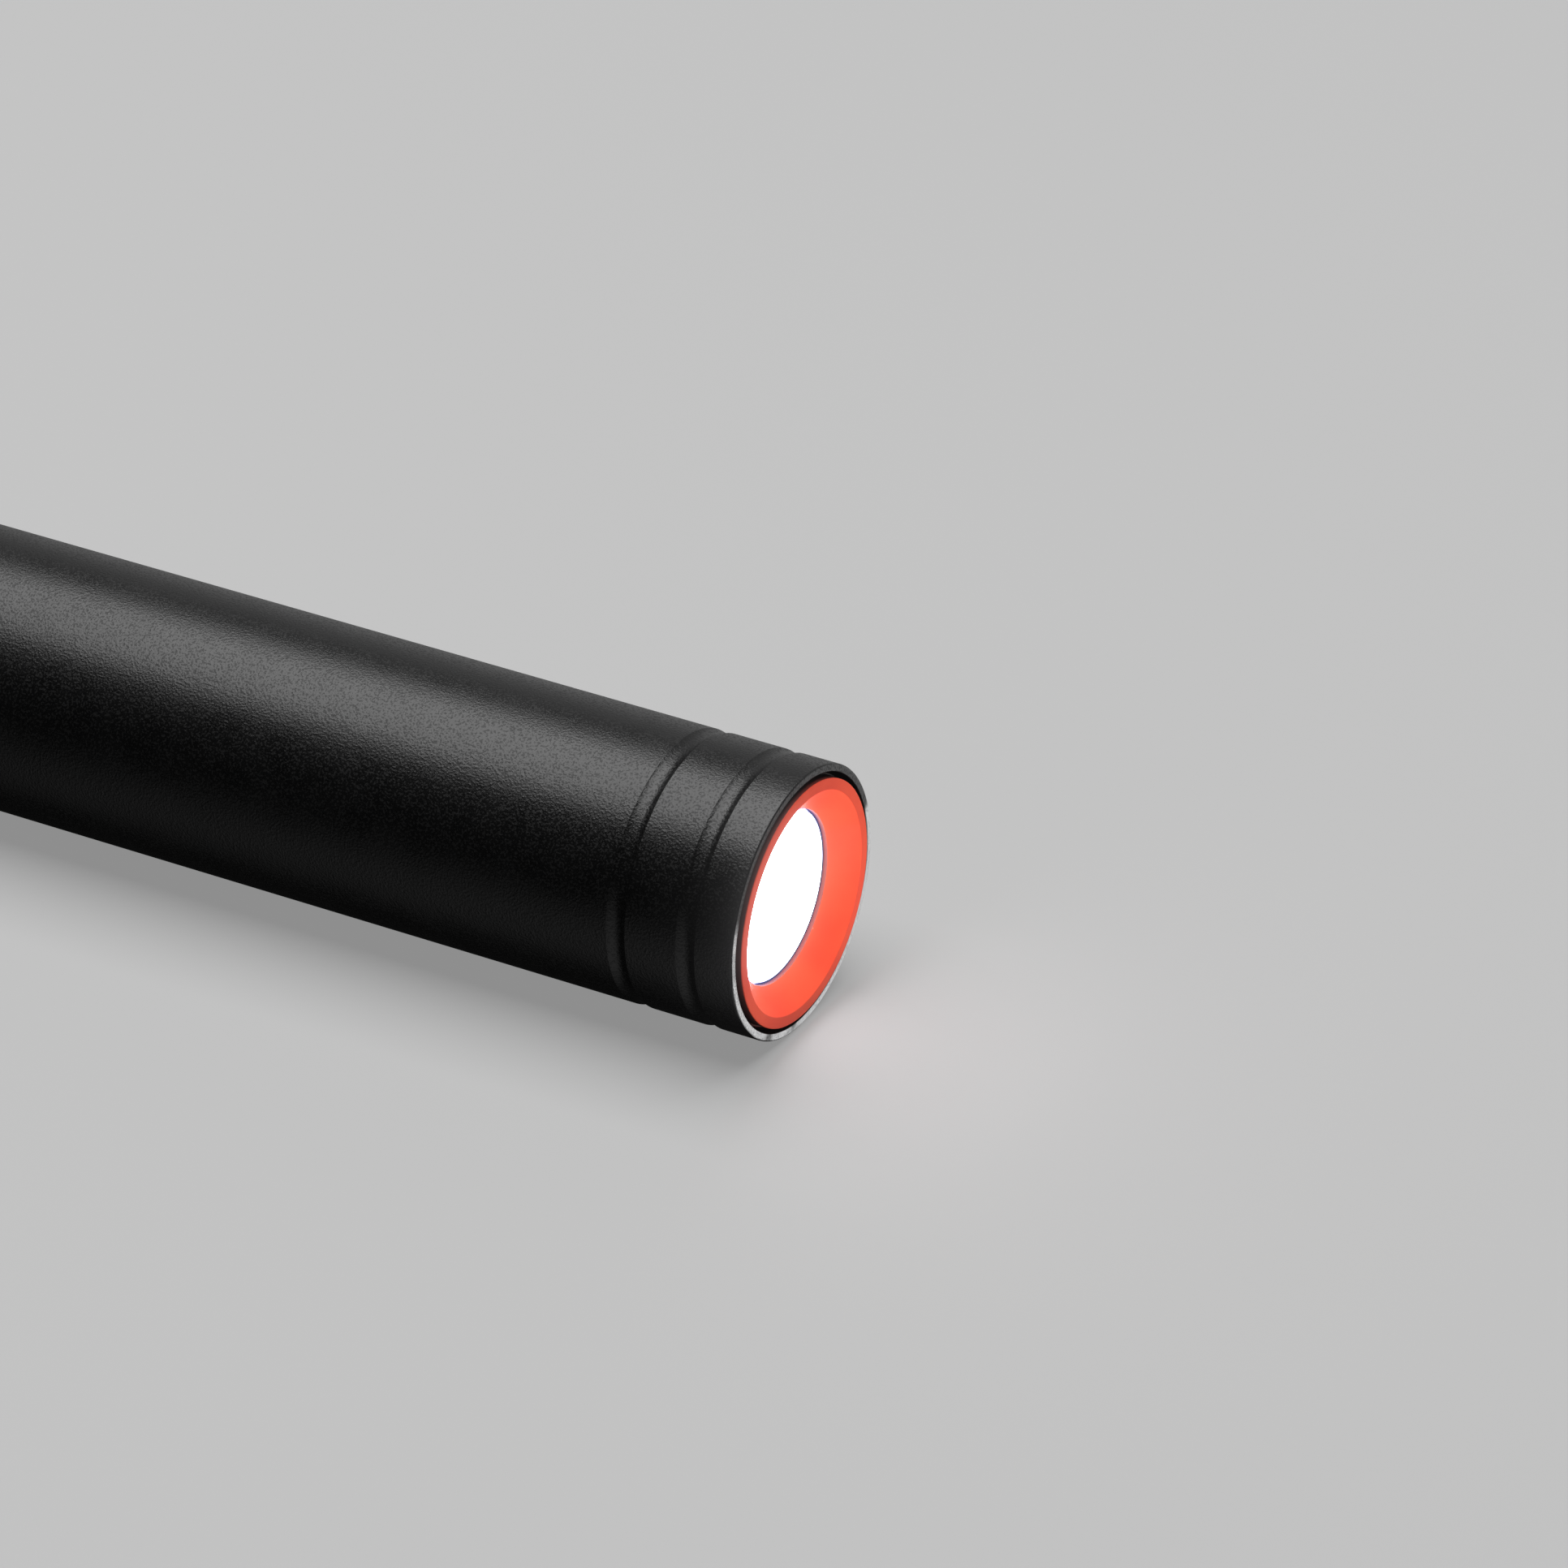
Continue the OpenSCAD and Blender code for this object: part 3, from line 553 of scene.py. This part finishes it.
def meshFromGrid(name, grid, closedU=False, poles=(None, None), attributes=(), crease=None):
    # quads between neighbours of a grid of points, wrapped round where it is closed, and a fan to each pole;
    # edges that turn by more than crease, in degrees, stay sharp
    rows, cols = grid.shape[:2]
    ids = np.arange(rows * cols).reshape(rows, cols)
    a, b = (ids, np.roll(ids, -1, 0)) if closedU else (ids[:-1], ids[1:])
    faces = np.stack([a, b, np.roll(b, -1, 1), np.roll(a, -1, 1)], -1).reshape(-1, 4).tolist()
    points = grid.reshape(-1, 3)
    for end, pole in enumerate(poles):
        if pole is None:
            continue
        tip, ring = np.full(cols, len(points)), ids[-1 if end else 0]
        points = np.vstack([points, pole])
        fan = (ring, tip, np.roll(ring, -1)) if end else (tip, ring, np.roll(ring, -1))
        faces += np.stack(fan, -1).tolist()
    mesh = bpy.data.meshes.new(name)
    mesh.from_pydata(points.tolist(), [], faces)
    mesh.polygons.foreach_set("use_smooth", np.ones(len(faces), bool))
    for label, values in dict(attributes).items():
        full = np.zeros(len(points), np.float32)
        full[:rows * cols] = np.broadcast_to(values, (rows, cols)).ravel()
        mesh.attributes.new(label, "FLOAT", "POINT").data.foreach_set("value", full)
    mesh.update()
    if crease:
        mesh.set_sharp_from_angle(angle=math.radians(crease))
    return mesh


def latheMesh(name, outline, around=192, closed=True, lift=0.0, poles=(None, None), edge=None, crease=None):
    # a turned surface: the outline's x stays, its r goes round the axis; lift is added to r at each point
    turn = np.linspace(0, 2 * np.pi, around, endpoint=False)[None]
    x, r = outline[:, :1], outline[:, 1:2] + lift
    grid = np.stack(np.broadcast_arrays(x, r * np.sin(turn), r * np.cos(turn)), -1) * mm
    tips = [None if p is None else np.array([p * mm, 0, 0]) for p in poles]
    if edge is None:
        edge = outline[:, 2:3] if outline.shape[1] > 2 else 0.0
    return meshFromGrid(name, grid, closedU=closed, poles=tips, attributes={"edge": edge}, crease=crease)


def makePiece(name, mesh, material, body, slot, *replaced):
    piece = bpy.data.objects.new(name, mesh)
    mesh.materials.append(material)
    scene.collection.objects.link(piece)
    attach(piece, body)
    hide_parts(*replaced)
    print("piece", name, len(mesh.polygons), "faces")
    return piece


gripGroove = dict(grooveHalf=0.5187, grooveDepth=0.3300, grooveShoulder=0.095, grooveFloor=0.915)     # mm


def grooveCorners(x, cfg):          # a V whose large round floor leaves a shallow arc, with crisp shoulders
    half, depth = cfg["grooveHalf"], cfg["grooveDepth"]
    shoulder, floor = cfg["grooveShoulder"], cfg["grooveFloor"]
    return [(x - half, bodyR, shoulder), (x, bodyR - depth, floor), (x + half, bodyR, shoulder)]


# focus head

sleeve = dict(
    gripGroove,
    grooves=(6.68, 2.68),      # mm behind the rim
    bore=6.25, headBore=6.55, stopX=116.0,
    rimWall=0.42, rimRound=0.11, seatDepth=1.6, chamfer=0.25,
    around=256, seamWear=0.9, seamBehind=1.0,
    bareFrom=0.07, bareMiddle=181,      # mm behind the rim's face, degrees from +Z towards +Y
    bareReach=0.57, bareFade=0.35, bareLean=0.10, bareWear=1.4, slack=0.01,
)


def makeSleeve(cfg):
    rimIn, seat = bodyR - cfg["rimWall"], sleeveFront - cfg["seatDepth"]
    bore, headBore, stop, chamfer = cfg["bore"], cfg["headBore"], cfg["stopX"], cfg["chamfer"]
    outline = roundCorners([
        (sleeveBack, bore, innerRound), (sleeveBack, bodyR - chamfer, outerRound),
        (sleeveBack + chamfer, bodyR, bodyRound),
        *grooveCorners(sleeveFront - cfg["grooves"][0], cfg),
        *grooveCorners(sleeveFront - cfg["grooves"][1], cfg),
        (sleeveFront, bodyR, cfg["rimRound"]), (sleeveFront, rimIn, outerRound), (seat, rimIn, hairRound),
        (seat, headBore, hairRound), (stop, headBore, hairRound), (stop, bore, hairRound),
    ])
    # the rim's face is worn to bare metal, all but its upper part: a ramp of cos(turn - middle)
    x, r, edge = outline[:, :1], outline[:, 1:2], outline[:, 2:]
    turn = np.linspace(0, 2 * np.pi, cfg["around"], endpoint=False)[None]
    low = (np.cos(turn - math.radians(cfg["bareMiddle"])) + cfg["bareReach"]) / cfg["bareFade"]
    low = np.clip(low, 0, 1) * (1 - cfg["bareLean"] + cfg["bareLean"] * np.sin(turn))
    onFace = np.clip((x - sleeveFront) / cfg["bareFrom"] + 1, 0, 1) * (r > rimIn - cfg["slack"])
    worn = cfg["seamWear"] * edge * (x < sleeveFront - cfg["seamBehind"])
    worn = np.maximum(worn, cfg["bareWear"] * onFace * low)
    mesh = latheMesh("headSleeve", outline, around=cfg["around"], edge=worn)
    makePiece("headSleeve", mesh, blackAnodised, "head", "black_anodised", "head_sleeve")


makeSleeve(sleeve)

bezel = dict(
    skirtR=6.50, skirtIn=5.90, seatBehindFront=1.76, seatR=6.65,
    lipHigh=0.80, lipR=6.53, lipRound=0.05,
    coneR=5.93, openR=4.62, coneDepth=1.26, web=0.25, coneRound=0.06,
    # where the painted shade in the gap starts, fades in and stops short of the seat, and how strong it is in
    # the throat
    paintedShadeTop=0.02, paintedShadeFade=0.05, paintedShadeFoot=0.1, throatPaintedShade=0.9, slack=0.02,
    around=256,
)


def makeBezel(cfg):
    seat, step, cone = (bezelFront - cfg[key] for key in ("seatBehindFront", "lipHigh", "coneDepth"))
    skirtIn, skirtR, seatR, lipR, openR = (cfg[k] for k in ("skirtIn", "skirtR", "seatR", "lipR", "openR"))
    web = cone - cfg["web"]
    outline = roundCorners([
        (bezelBack, skirtIn, innerRound), (bezelBack, skirtR, outerRound),
        (seat, skirtR, hairRound), (seat, seatR, hairRound),
        (step, seatR, innerRound), (step, lipR, innerRound), (bezelFront, lipR, cfg["lipRound"]),
        (bezelFront, cfg["coneR"], cfg["coneRound"]), (cone, openR, outerRound),
        (web, openR, innerRound), (web, skirtIn, hairRound),
    ])
    # painted shade on the wall in the gap, darker deeper down, and in the narrow throat round the lens
    x, r = outline[:, 0], outline[:, 1]
    inGap = (r > lipR - cfg["slack"]) & (x > seat + cfg["paintedShadeFoot"])
    inThroat = (r < openR + cfg["slack"]) & (x < cone)
    deep = np.clip((bezelFront - cfg["paintedShadeTop"] - x) / cfg["paintedShadeFade"], 0, 1)
    outline[:, 2] = inGap * deep + cfg["throatPaintedShade"] * inThroat
    mesh = latheMesh("bezelRing", outline, around=cfg["around"])
    makePiece("bezelRing", mesh, orangeAnodised, "head", "orange_anodised", "bezel_ring")


makeBezel(bezel)

lensShape = dict(
    backR=4.9, backDome=2.6, flange=1.25, flangeR=5.85, neck=0.3, frontR=4.52,
    domeRings=28, around=128, crease=40,
)


def makeLens(cfg):
    # two spherical caps: x = top -/+ (R - sqrt(R2 - r2)) with R from the cap's height and half width
    rings = np.sin(np.linspace(0, np.pi / 2, cfg["domeRings"] + 1)[1:])

    def cap(top, way, halfWidth, height):
        ball = (halfWidth ** 2 + height ** 2) / (2 * height)
        r = rings * halfWidth
        return np.stack([top + way * (ball - np.sqrt(ball ** 2 - r ** 2)), r], -1)
    flangeBack = lensBack + cfg["backDome"]
    flangeFront = flangeBack + cfg["flange"]
    back = cap(lensBack, 1, cfg["backR"], cfg["backDome"])
    front = cap(lensFront, -1, cfg["frontR"], lensFront - flangeFront - cfg["neck"])
    sides = np.array([
        (flangeBack, cfg["flangeR"]), (flangeFront, cfg["flangeR"]), (flangeFront, cfg["frontR"]),
    ])
    outline = np.vstack([back, sides, front[::-1]])
    mesh = latheMesh("lensGlass", outline, around=cfg["around"], closed=False,
                     poles=(lensBack, lensFront), crease=cfg["crease"])
    makePiece("lensGlass", mesh, litLens, "head", "lens_glass", "lens")


makeLens(lensShape)

# barrel

barrelShape = dict(
    bore=5.40, spigotR=6.10, clipSeatR=6.60, slideR=6.20, chamfer=0.25,
    clipRing=7.0,              # mm of the clip's ring on its seat
    seam=0.15, spigotRound=0.04, noseRound=0.10,
    sealXs=(82.73, 114.02), sealWide=0.66, sealFloor=5.75,
    pitch=1.0, threadDepth=0.34, threadStart=0.5, threadEnd=4.6, threadRings=110,
    fadeIn=0.5, fadeOut=0.9, flank=1.5, crest=0.25,
    around=192, crease=50,
)


def makeBarrel(cfg):
    clipSeat, bodyBack = clipBack, clipBack + cfg["clipRing"] + cfg["seam"]
    bodyFront, chamfer = sleeveBack - cfg["seam"], cfg["chamfer"]
    bore, spigotR, clipSeatR, slideR = (cfg[k] for k in ("bore", "spigotR", "clipSeatR", "slideR"))
    side, floor = cfg["sealWide"] / 2, cfg["sealFloor"]
    spigotEnd = [
        (barrelBack, bore, innerRound), (barrelBack, spigotR - chamfer, cfg["spigotRound"]),
        (barrelBack + chamfer, spigotR, cfg["spigotRound"]),
    ]
    seals = [(x + dx, r, innerRound) for x in cfg["sealXs"]
             for dx, r in ((-side, slideR), (-side, floor), (side, floor), (side, slideR))]
    corners = [
        *spigotEnd,
        (clipSeat, spigotR, outerRound), (clipSeat, clipSeatR, outerRound),
        (bodyBack, clipSeatR, innerRound),
        (bodyBack, bodyR - chamfer, outerRound), (bodyBack + chamfer, bodyR, bodyRound),
        (bodyFront - chamfer, bodyR, bodyRound), (bodyFront, bodyR - chamfer, outerRound),
        (bodyFront, slideR, innerRound),
        *seals, (barrelFront, slideR, cfg["noseRound"]), (barrelFront, bore, outerRound),
    ]
    rounded = roundCorners(corners)
    threadFrom, threadTo = barrelBack + cfg["threadStart"], barrelBack + cfg["threadEnd"]
    threadX = np.linspace(threadFrom, threadTo, cfg["threadRings"])
    thread = np.stack([threadX, np.full_like(threadX, spigotR), 0 * threadX], -1)
    start = len(rounded) // len(corners) * len(spigotEnd)
    outline = np.vstack([rounded[:start], thread, rounded[start:]])
    # thread: r falls by a cut-off triangle wave of (x / pitch - turn), fading out at both ends
    turn = np.arange(cfg["around"])[None] / cfg["around"]
    wave = np.abs(((threadX[:, None] / cfg["pitch"] - turn) % 1) * 2 - 1)
    fade = np.clip((threadX - threadFrom) / cfg["fadeIn"], 0, 1)
    fade = fade * np.clip((threadTo - threadX) / cfg["fadeOut"], 0, 1)
    cut = np.zeros((len(outline), cfg["around"]))
    groove = np.clip(cfg["flank"] * wave - cfg["crest"], 0, 1)
    cut[start:start + len(thread)] = groove * fade[:, None] * cfg["threadDepth"]
    mesh = latheMesh("barrelTube", outline, around=cfg["around"], lift=-cut, crease=cfg["crease"])
    makePiece("barrelTube", mesh, blackAnodised, "barrel", "black_anodised", "barrel")


makeBarrel(barrelShape)

# tail cap and button

capShape = dict(
    gripGroove,
    grooves=(4.5, 8.5),        # mm from the end face
    buttonBore=4.0, dishDepth=1.2, wall=2.4, endRound=0.6, chamfer=0.25,
    boreRound=0.06, dishRound=0.12,
    cavity=4.75, boardX=11.25, boardR=5.35, mouthX=14.40, mouthR=6.16,
    sealX=19.48, sealWide=0.66, sealR=6.60,
)


def makeTailCap(cfg):
    side, bore, dish = cfg["sealWide"] / 2, cfg["buttonBore"], cfg["dishDepth"]
    inside = [                 # from the mouth to the button's bore
        (capFront, cfg["mouthR"]),
        (cfg["sealX"] + side, cfg["mouthR"]), (cfg["sealX"] + side, cfg["sealR"]),
        (cfg["sealX"] - side, cfg["sealR"]), (cfg["sealX"] - side, cfg["mouthR"]),
        (cfg["mouthX"], cfg["mouthR"]), (cfg["mouthX"], cfg["boardR"]),
        (cfg["boardX"], cfg["boardR"]), (cfg["boardX"], cfg["cavity"]),
        (capBack + cfg["wall"], cfg["cavity"]), (capBack + cfg["wall"], bore),
    ]
    corners = [
        (capBack + dish, bore, cfg["boreRound"]), (capBack, bore + dish, cfg["dishRound"]),
        (capBack, bodyR, cfg["endRound"]),
        *grooveCorners(capBack + cfg["grooves"][0], cfg), *grooveCorners(capBack + cfg["grooves"][1], cfg),
        (capFront - cfg["chamfer"], bodyR, bodyRound), (capFront, bodyR - cfg["chamfer"], outerRound),
        *((x, r, innerRound) for x, r in inside),
    ]
    mesh = latheMesh("tailCap", roundCorners(corners))
    makePiece("tailCap", mesh, blackAnodised, "tail_cap", "black_anodised", "tail_cap")


makeTailCap(capShape)

buttonShape = dict(
    stemR=3.9, flangeR=4.65, flangeX=2.55, dome=0.75, topRound=0.12, topShort=0.15, axisRound=0.01,
    ribs=3, ribDepth=0.09, ribFrom=0.9, ribTo=3.1, rings=72,
    around=128, crease=45,
)


def makeButton(cfg):
    # a spherical cap with round ribs: x = top + sag(r) + depth * (1 - cos(2 pi n s)) / 2 between two radii
    stemR, flangeR, flangeX = cfg["stemR"], cfg["flangeR"], cfg["flangeX"]
    ball = (stemR ** 2 + cfg["dome"] ** 2) / (2 * cfg["dome"])
    r = np.linspace(0, stemR - cfg["topShort"], cfg["rings"] + 1)[1:]
    s = np.clip((r - cfg["ribFrom"]) / (cfg["ribTo"] - cfg["ribFrom"]), 0, 1)
    rib = cfg["ribDepth"] * (1 - np.cos(2 * np.pi * cfg["ribs"] * s)) / 2
    x = buttonBack + ball - np.sqrt(ball ** 2 - r ** 2) + rib
    top = np.stack([x, r, 0 * r], -1)
    stem = roundCorners([
        (buttonBack, 0, cfg["axisRound"]), (buttonBack + cfg["dome"], stemR, cfg["topRound"]),
        (flangeX, stemR, outerRound), (flangeX, flangeR, bodyRound),
        (buttonFront, flangeR, bodyRound), (buttonFront, 0, cfg["axisRound"]),
    ], closed=False)
    mesh = latheMesh("tailButton", np.vstack([top, stem]), around=cfg["around"], closed=False,
                     poles=(buttonBack, buttonFront), crease=cfg["crease"])
    makePiece("tailButton", mesh, plain["blackRubber"], "button", "black_rubber", "tail_button")


makeButton(buttonShape)

# pocket clip

clipShape = dict(
    lean=54.33,                # degrees from straight down towards +Y
    sheet=0.6, ringWide=7.0, ringRound=0.10, bendFrom=1.5,
    slotHalf=0.405, slotWall=0.002,          # rad
    slotRound=0.6, cornerRound=0.5,          # mm
    arcSteps=7, slotSteps=7, ringSteps=63, ringCrease=35,
    armWide=5.0, armRound=0.13, armStart=0.5, riseLong=4.0, low=6.95, high=8.65,
    sunk=0.1, sunkLong=0.3,    # the arm's root goes a little into the ring
    dipFrom=7.0, dipAt=2.8,    # mm behind the tip
    dipLow=7.75, tipHigh=8.55,     # mm from the axis
    rootSteps=4, riseSteps=26, levelSteps=24, dipSteps=28, tipSteps=26, tipTurn=0.485, armCrease=50,
)


def clipRing(cfg, way):
    # sheet ring as a grid (profile, turn): the front half of the profile moves back to the slot's edge, which
    # along the turn is flat, a quarter circle, the slot's side wall, another quarter circle, and flat again
    inner, outer, front = bodyR - cfg["sheet"], bodyR, clipBack + cfg["ringWide"]
    slotX, wall = clipBack + cfg["bendFrom"], cfg["slotHalf"] + cfg["slotWall"]
    beta = np.linspace(0, np.pi / 2, cfg["arcSteps"])
    deep, soft, half = cfg["slotRound"], cfg["cornerRound"], cfg["slotHalf"]
    turn = np.concatenate([
        np.linspace(0, half - deep / outer, cfg["slotSteps"] + 1)[:-1],
        half - deep * (1 - np.sin(beta)) / outer,
        wall + soft * (1 - np.cos(beta)) / outer,
        np.linspace(wall + soft / outer, np.pi, cfg["ringSteps"] + 1)[1:],
    ])
    edgeX = np.concatenate([
        np.full(cfg["slotSteps"], slotX), slotX + deep * (1 - np.cos(beta)),
        front - soft * (1 - np.sin(beta)), np.full(cfg["ringSteps"], front),
    ])
    turn = np.concatenate([turn, 2 * np.pi - turn[-2:0:-1]]) + way
    edgeX = np.concatenate([edgeX, edgeX[-2:0:-1]])
    profile = roundCorners([
        (x, r, cfg["ringRound"])
        for x, r in ((clipBack, inner), (clipBack, outer), (front, outer), (front, inner))
    ])
    isFront = profile[:, :1] > (clipBack + front) / 2
    x = profile[:, :1] - isFront * (front - edgeX[None])
    r = profile[:, 1:2]
    grid = np.stack(np.broadcast_arrays(x, r * np.sin(turn[None]), r * np.cos(turn[None])), -1) * mm
    edge = {"edge": profile[:, 2:3]}
    return meshFromGrid("clipRing", grid, closedU=True, attributes=edge, crease=cfg["ringCrease"])


def clipArm(cfg, way):
    # spring arm: a round-edged strip carried along a line that rises out of the ring, runs level, dips and
    # lifts; at its root the strip is curved as the ring is, and its half width ends in a half circle
    tip, half, thick = clipTip, cfg["armWide"] / 2, cfg["sheet"] / 2
    rootX, bendX = clipBack + cfg["armStart"], clipBack + cfg["bendFrom"]
    levelX, dropX, dipX = bendX + cfg["riseLong"], tip - cfg["dipFrom"], tip - cfg["dipAt"]
    x = np.concatenate([
        np.linspace(rootX, bendX, cfg["rootSteps"])[:-1],
        np.linspace(bendX, levelX, cfg["riseSteps"])[:-1],
        np.linspace(levelX, dropX, cfg["levelSteps"])[:-1],
        np.linspace(dropX, tip - half, cfg["dipSteps"])[:-1],
        tip - half + half * np.sin(np.linspace(0, cfg["tipTurn"] * np.pi, cfg["tipSteps"])),
    ])

    def eased(a, b):
        return (1 - np.cos(np.pi * np.clip((x - a) / (b - a), 0, 1))) / 2
    rise = (cfg["high"] - cfg["low"]) * eased(bendX, levelX)
    dip = (cfg["dipLow"] - cfg["high"]) * eased(dropX, dipX)
    lift = (cfg["tipHigh"] - cfg["dipLow"]) * eased(dipX, tip)
    r = cfg["low"] + rise + dip + lift
    slope = np.gradient(r, x)
    long = np.sqrt(1 + slope ** 2)
    wide = np.sqrt(np.clip(half ** 2 - np.clip(x - (tip - half), 0, None) ** 2, 0, None)) / half
    curved = 1 - eased(bendX, levelX)
    thin = 1 - cfg["sunk"] * (1 - eased(bendX, bendX + cfg["sunkLong"]))
    section = roundCorners([
        (w, v, cfg["armRound"])
        for w, v in ((-half, thick), (half, thick), (half, -thick), (-half, -thick))
    ])[::-1]
    w = section[None, :, 0] * wide[:, None]
    v = section[None, :, 1] * thin[:, None]
    ringR = cfg["low"] + v
    sag = curved[:, None] * (ringR - np.sqrt(ringR ** 2 - w ** 2))
    along = x[:, None] - v * (slope / long)[:, None]
    out = r[:, None] + v / long[:, None] - sag
    s, c = math.sin(way), math.cos(way)
    grid = np.stack([along, out * s - w * c, out * c + w * s], -1) * mm
    ends = [np.array([endX, endR * s, endR * c]) * mm for endX, endR in ((x[0], r[0]), (tip, r[-1]))]
    edge = {"edge": section[None, :, 2]}
    return meshFromGrid("clipArm", grid, poles=ends, attributes=edge, crease=cfg["armCrease"])


def makeClip(cfg):
    way = math.pi - math.radians(cfg["lean"])          # turn from +Z towards +Y
    makePiece("clipRing", clipRing(cfg, way), blackSteel, "barrel", "black_steel", "pocket_clip")
    makePiece("clipArm", clipArm(cfg, way), blackSteel, "barrel", "black_steel", "pocket_clip")


makeClip(clipShape)

# springs

wire = dict(
    wireR=0.225, wireSides=12, perTurn=36,
    creep=0.15,                # share of the rise that is even over all the turns
)
tailWire = dict(wire, node="tail_spring", r=(2.775, 1.975), turns=5.5, closedTurns=0.8)
returnWire = dict(wire, node="return_spring", r=(2.2, 2.2), turns=3.0, closedTurns=0.7)


def makeSpring(name, cfg, finish, slot):
    # helix: x creeps over the closed end turns and climbs between them, with eased ends, and r goes from one
    # end's to the other's; the wire is a circle carried along it
    back, front = (corner.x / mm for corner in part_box(cfg["node"]))
    turns, still, wireR = cfg["turns"], cfg["closedTurns"], cfg["wireR"]
    u = np.linspace(0, 1, int(turns * cfg["perTurn"]) + 1)
    rise = np.clip((u * turns - still) / (turns - 2 * still), 0, 1)
    eased = 0.5 * rise + 0.5 * rise * rise * (3 - 2 * rise)
    x = back + wireR + (front - back - 2 * wireR) * (cfg["creep"] * u + (1 - cfg["creep"]) * eased)
    r = np.interp(u, (0, 1), cfg["r"])
    turn = 2 * np.pi * turns * u
    out = np.stack([0 * u, np.cos(turn), np.sin(turn)], -1)
    line = np.stack([x, r * np.cos(turn), r * np.sin(turn)], -1)
    side = np.linspace(0, 2 * np.pi, cfg["wireSides"], endpoint=False)[None, :, None]
    ring = np.cos(side) * out[:, None] + np.sin(side) * np.array([1.0, 0, 0])
    grid = (line[:, None] + wireR * ring) * mm
    mesh = meshFromGrid(name, grid, poles=(line[0] * mm, line[-1] * mm))
    return makePiece(name, mesh, plain[finish], "tail_cap", slot, cfg["node"])


makeSpring("tailSpring", tailWire, "goldWire", "gold_spring")
returnSpring = makeSpring("returnSpring", returnWire, "steelWire", "steel_spring")
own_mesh(returnSpring)

# finishes of the nodes that stay

nodeFinish = dict(
    lens_gasket="blackRubber", lens_ring="blackRing", focus_seals="blackRubber",
    lamp_holder="bareAluminium", lamp_board="whiteBoard", lamp_package="whiteCeramic",
    lamp_dome="phosphorDome", lamp_leads="redInsulation",
    driver_board="greenBoard", driver_parts="blackMoulding", front_stud="brass",
    front_cell="cellWrap", rear_cell="cellWrap",
    tail_seal="blackRubber", switch_housing="blackMoulding", switch_contacts="brass",
    switch_board="greenBoard", switch_ring="brass", switch_plunger="whiteNylon", contact_bridge="brass",
)
for nodeName, finish in nodeFinish.items():
    nodes[nodeName].data.materials.clear()
    nodes[nodeName].data.materials.append(plain[finish])
print("nodes finished:", len(nodeFinish))
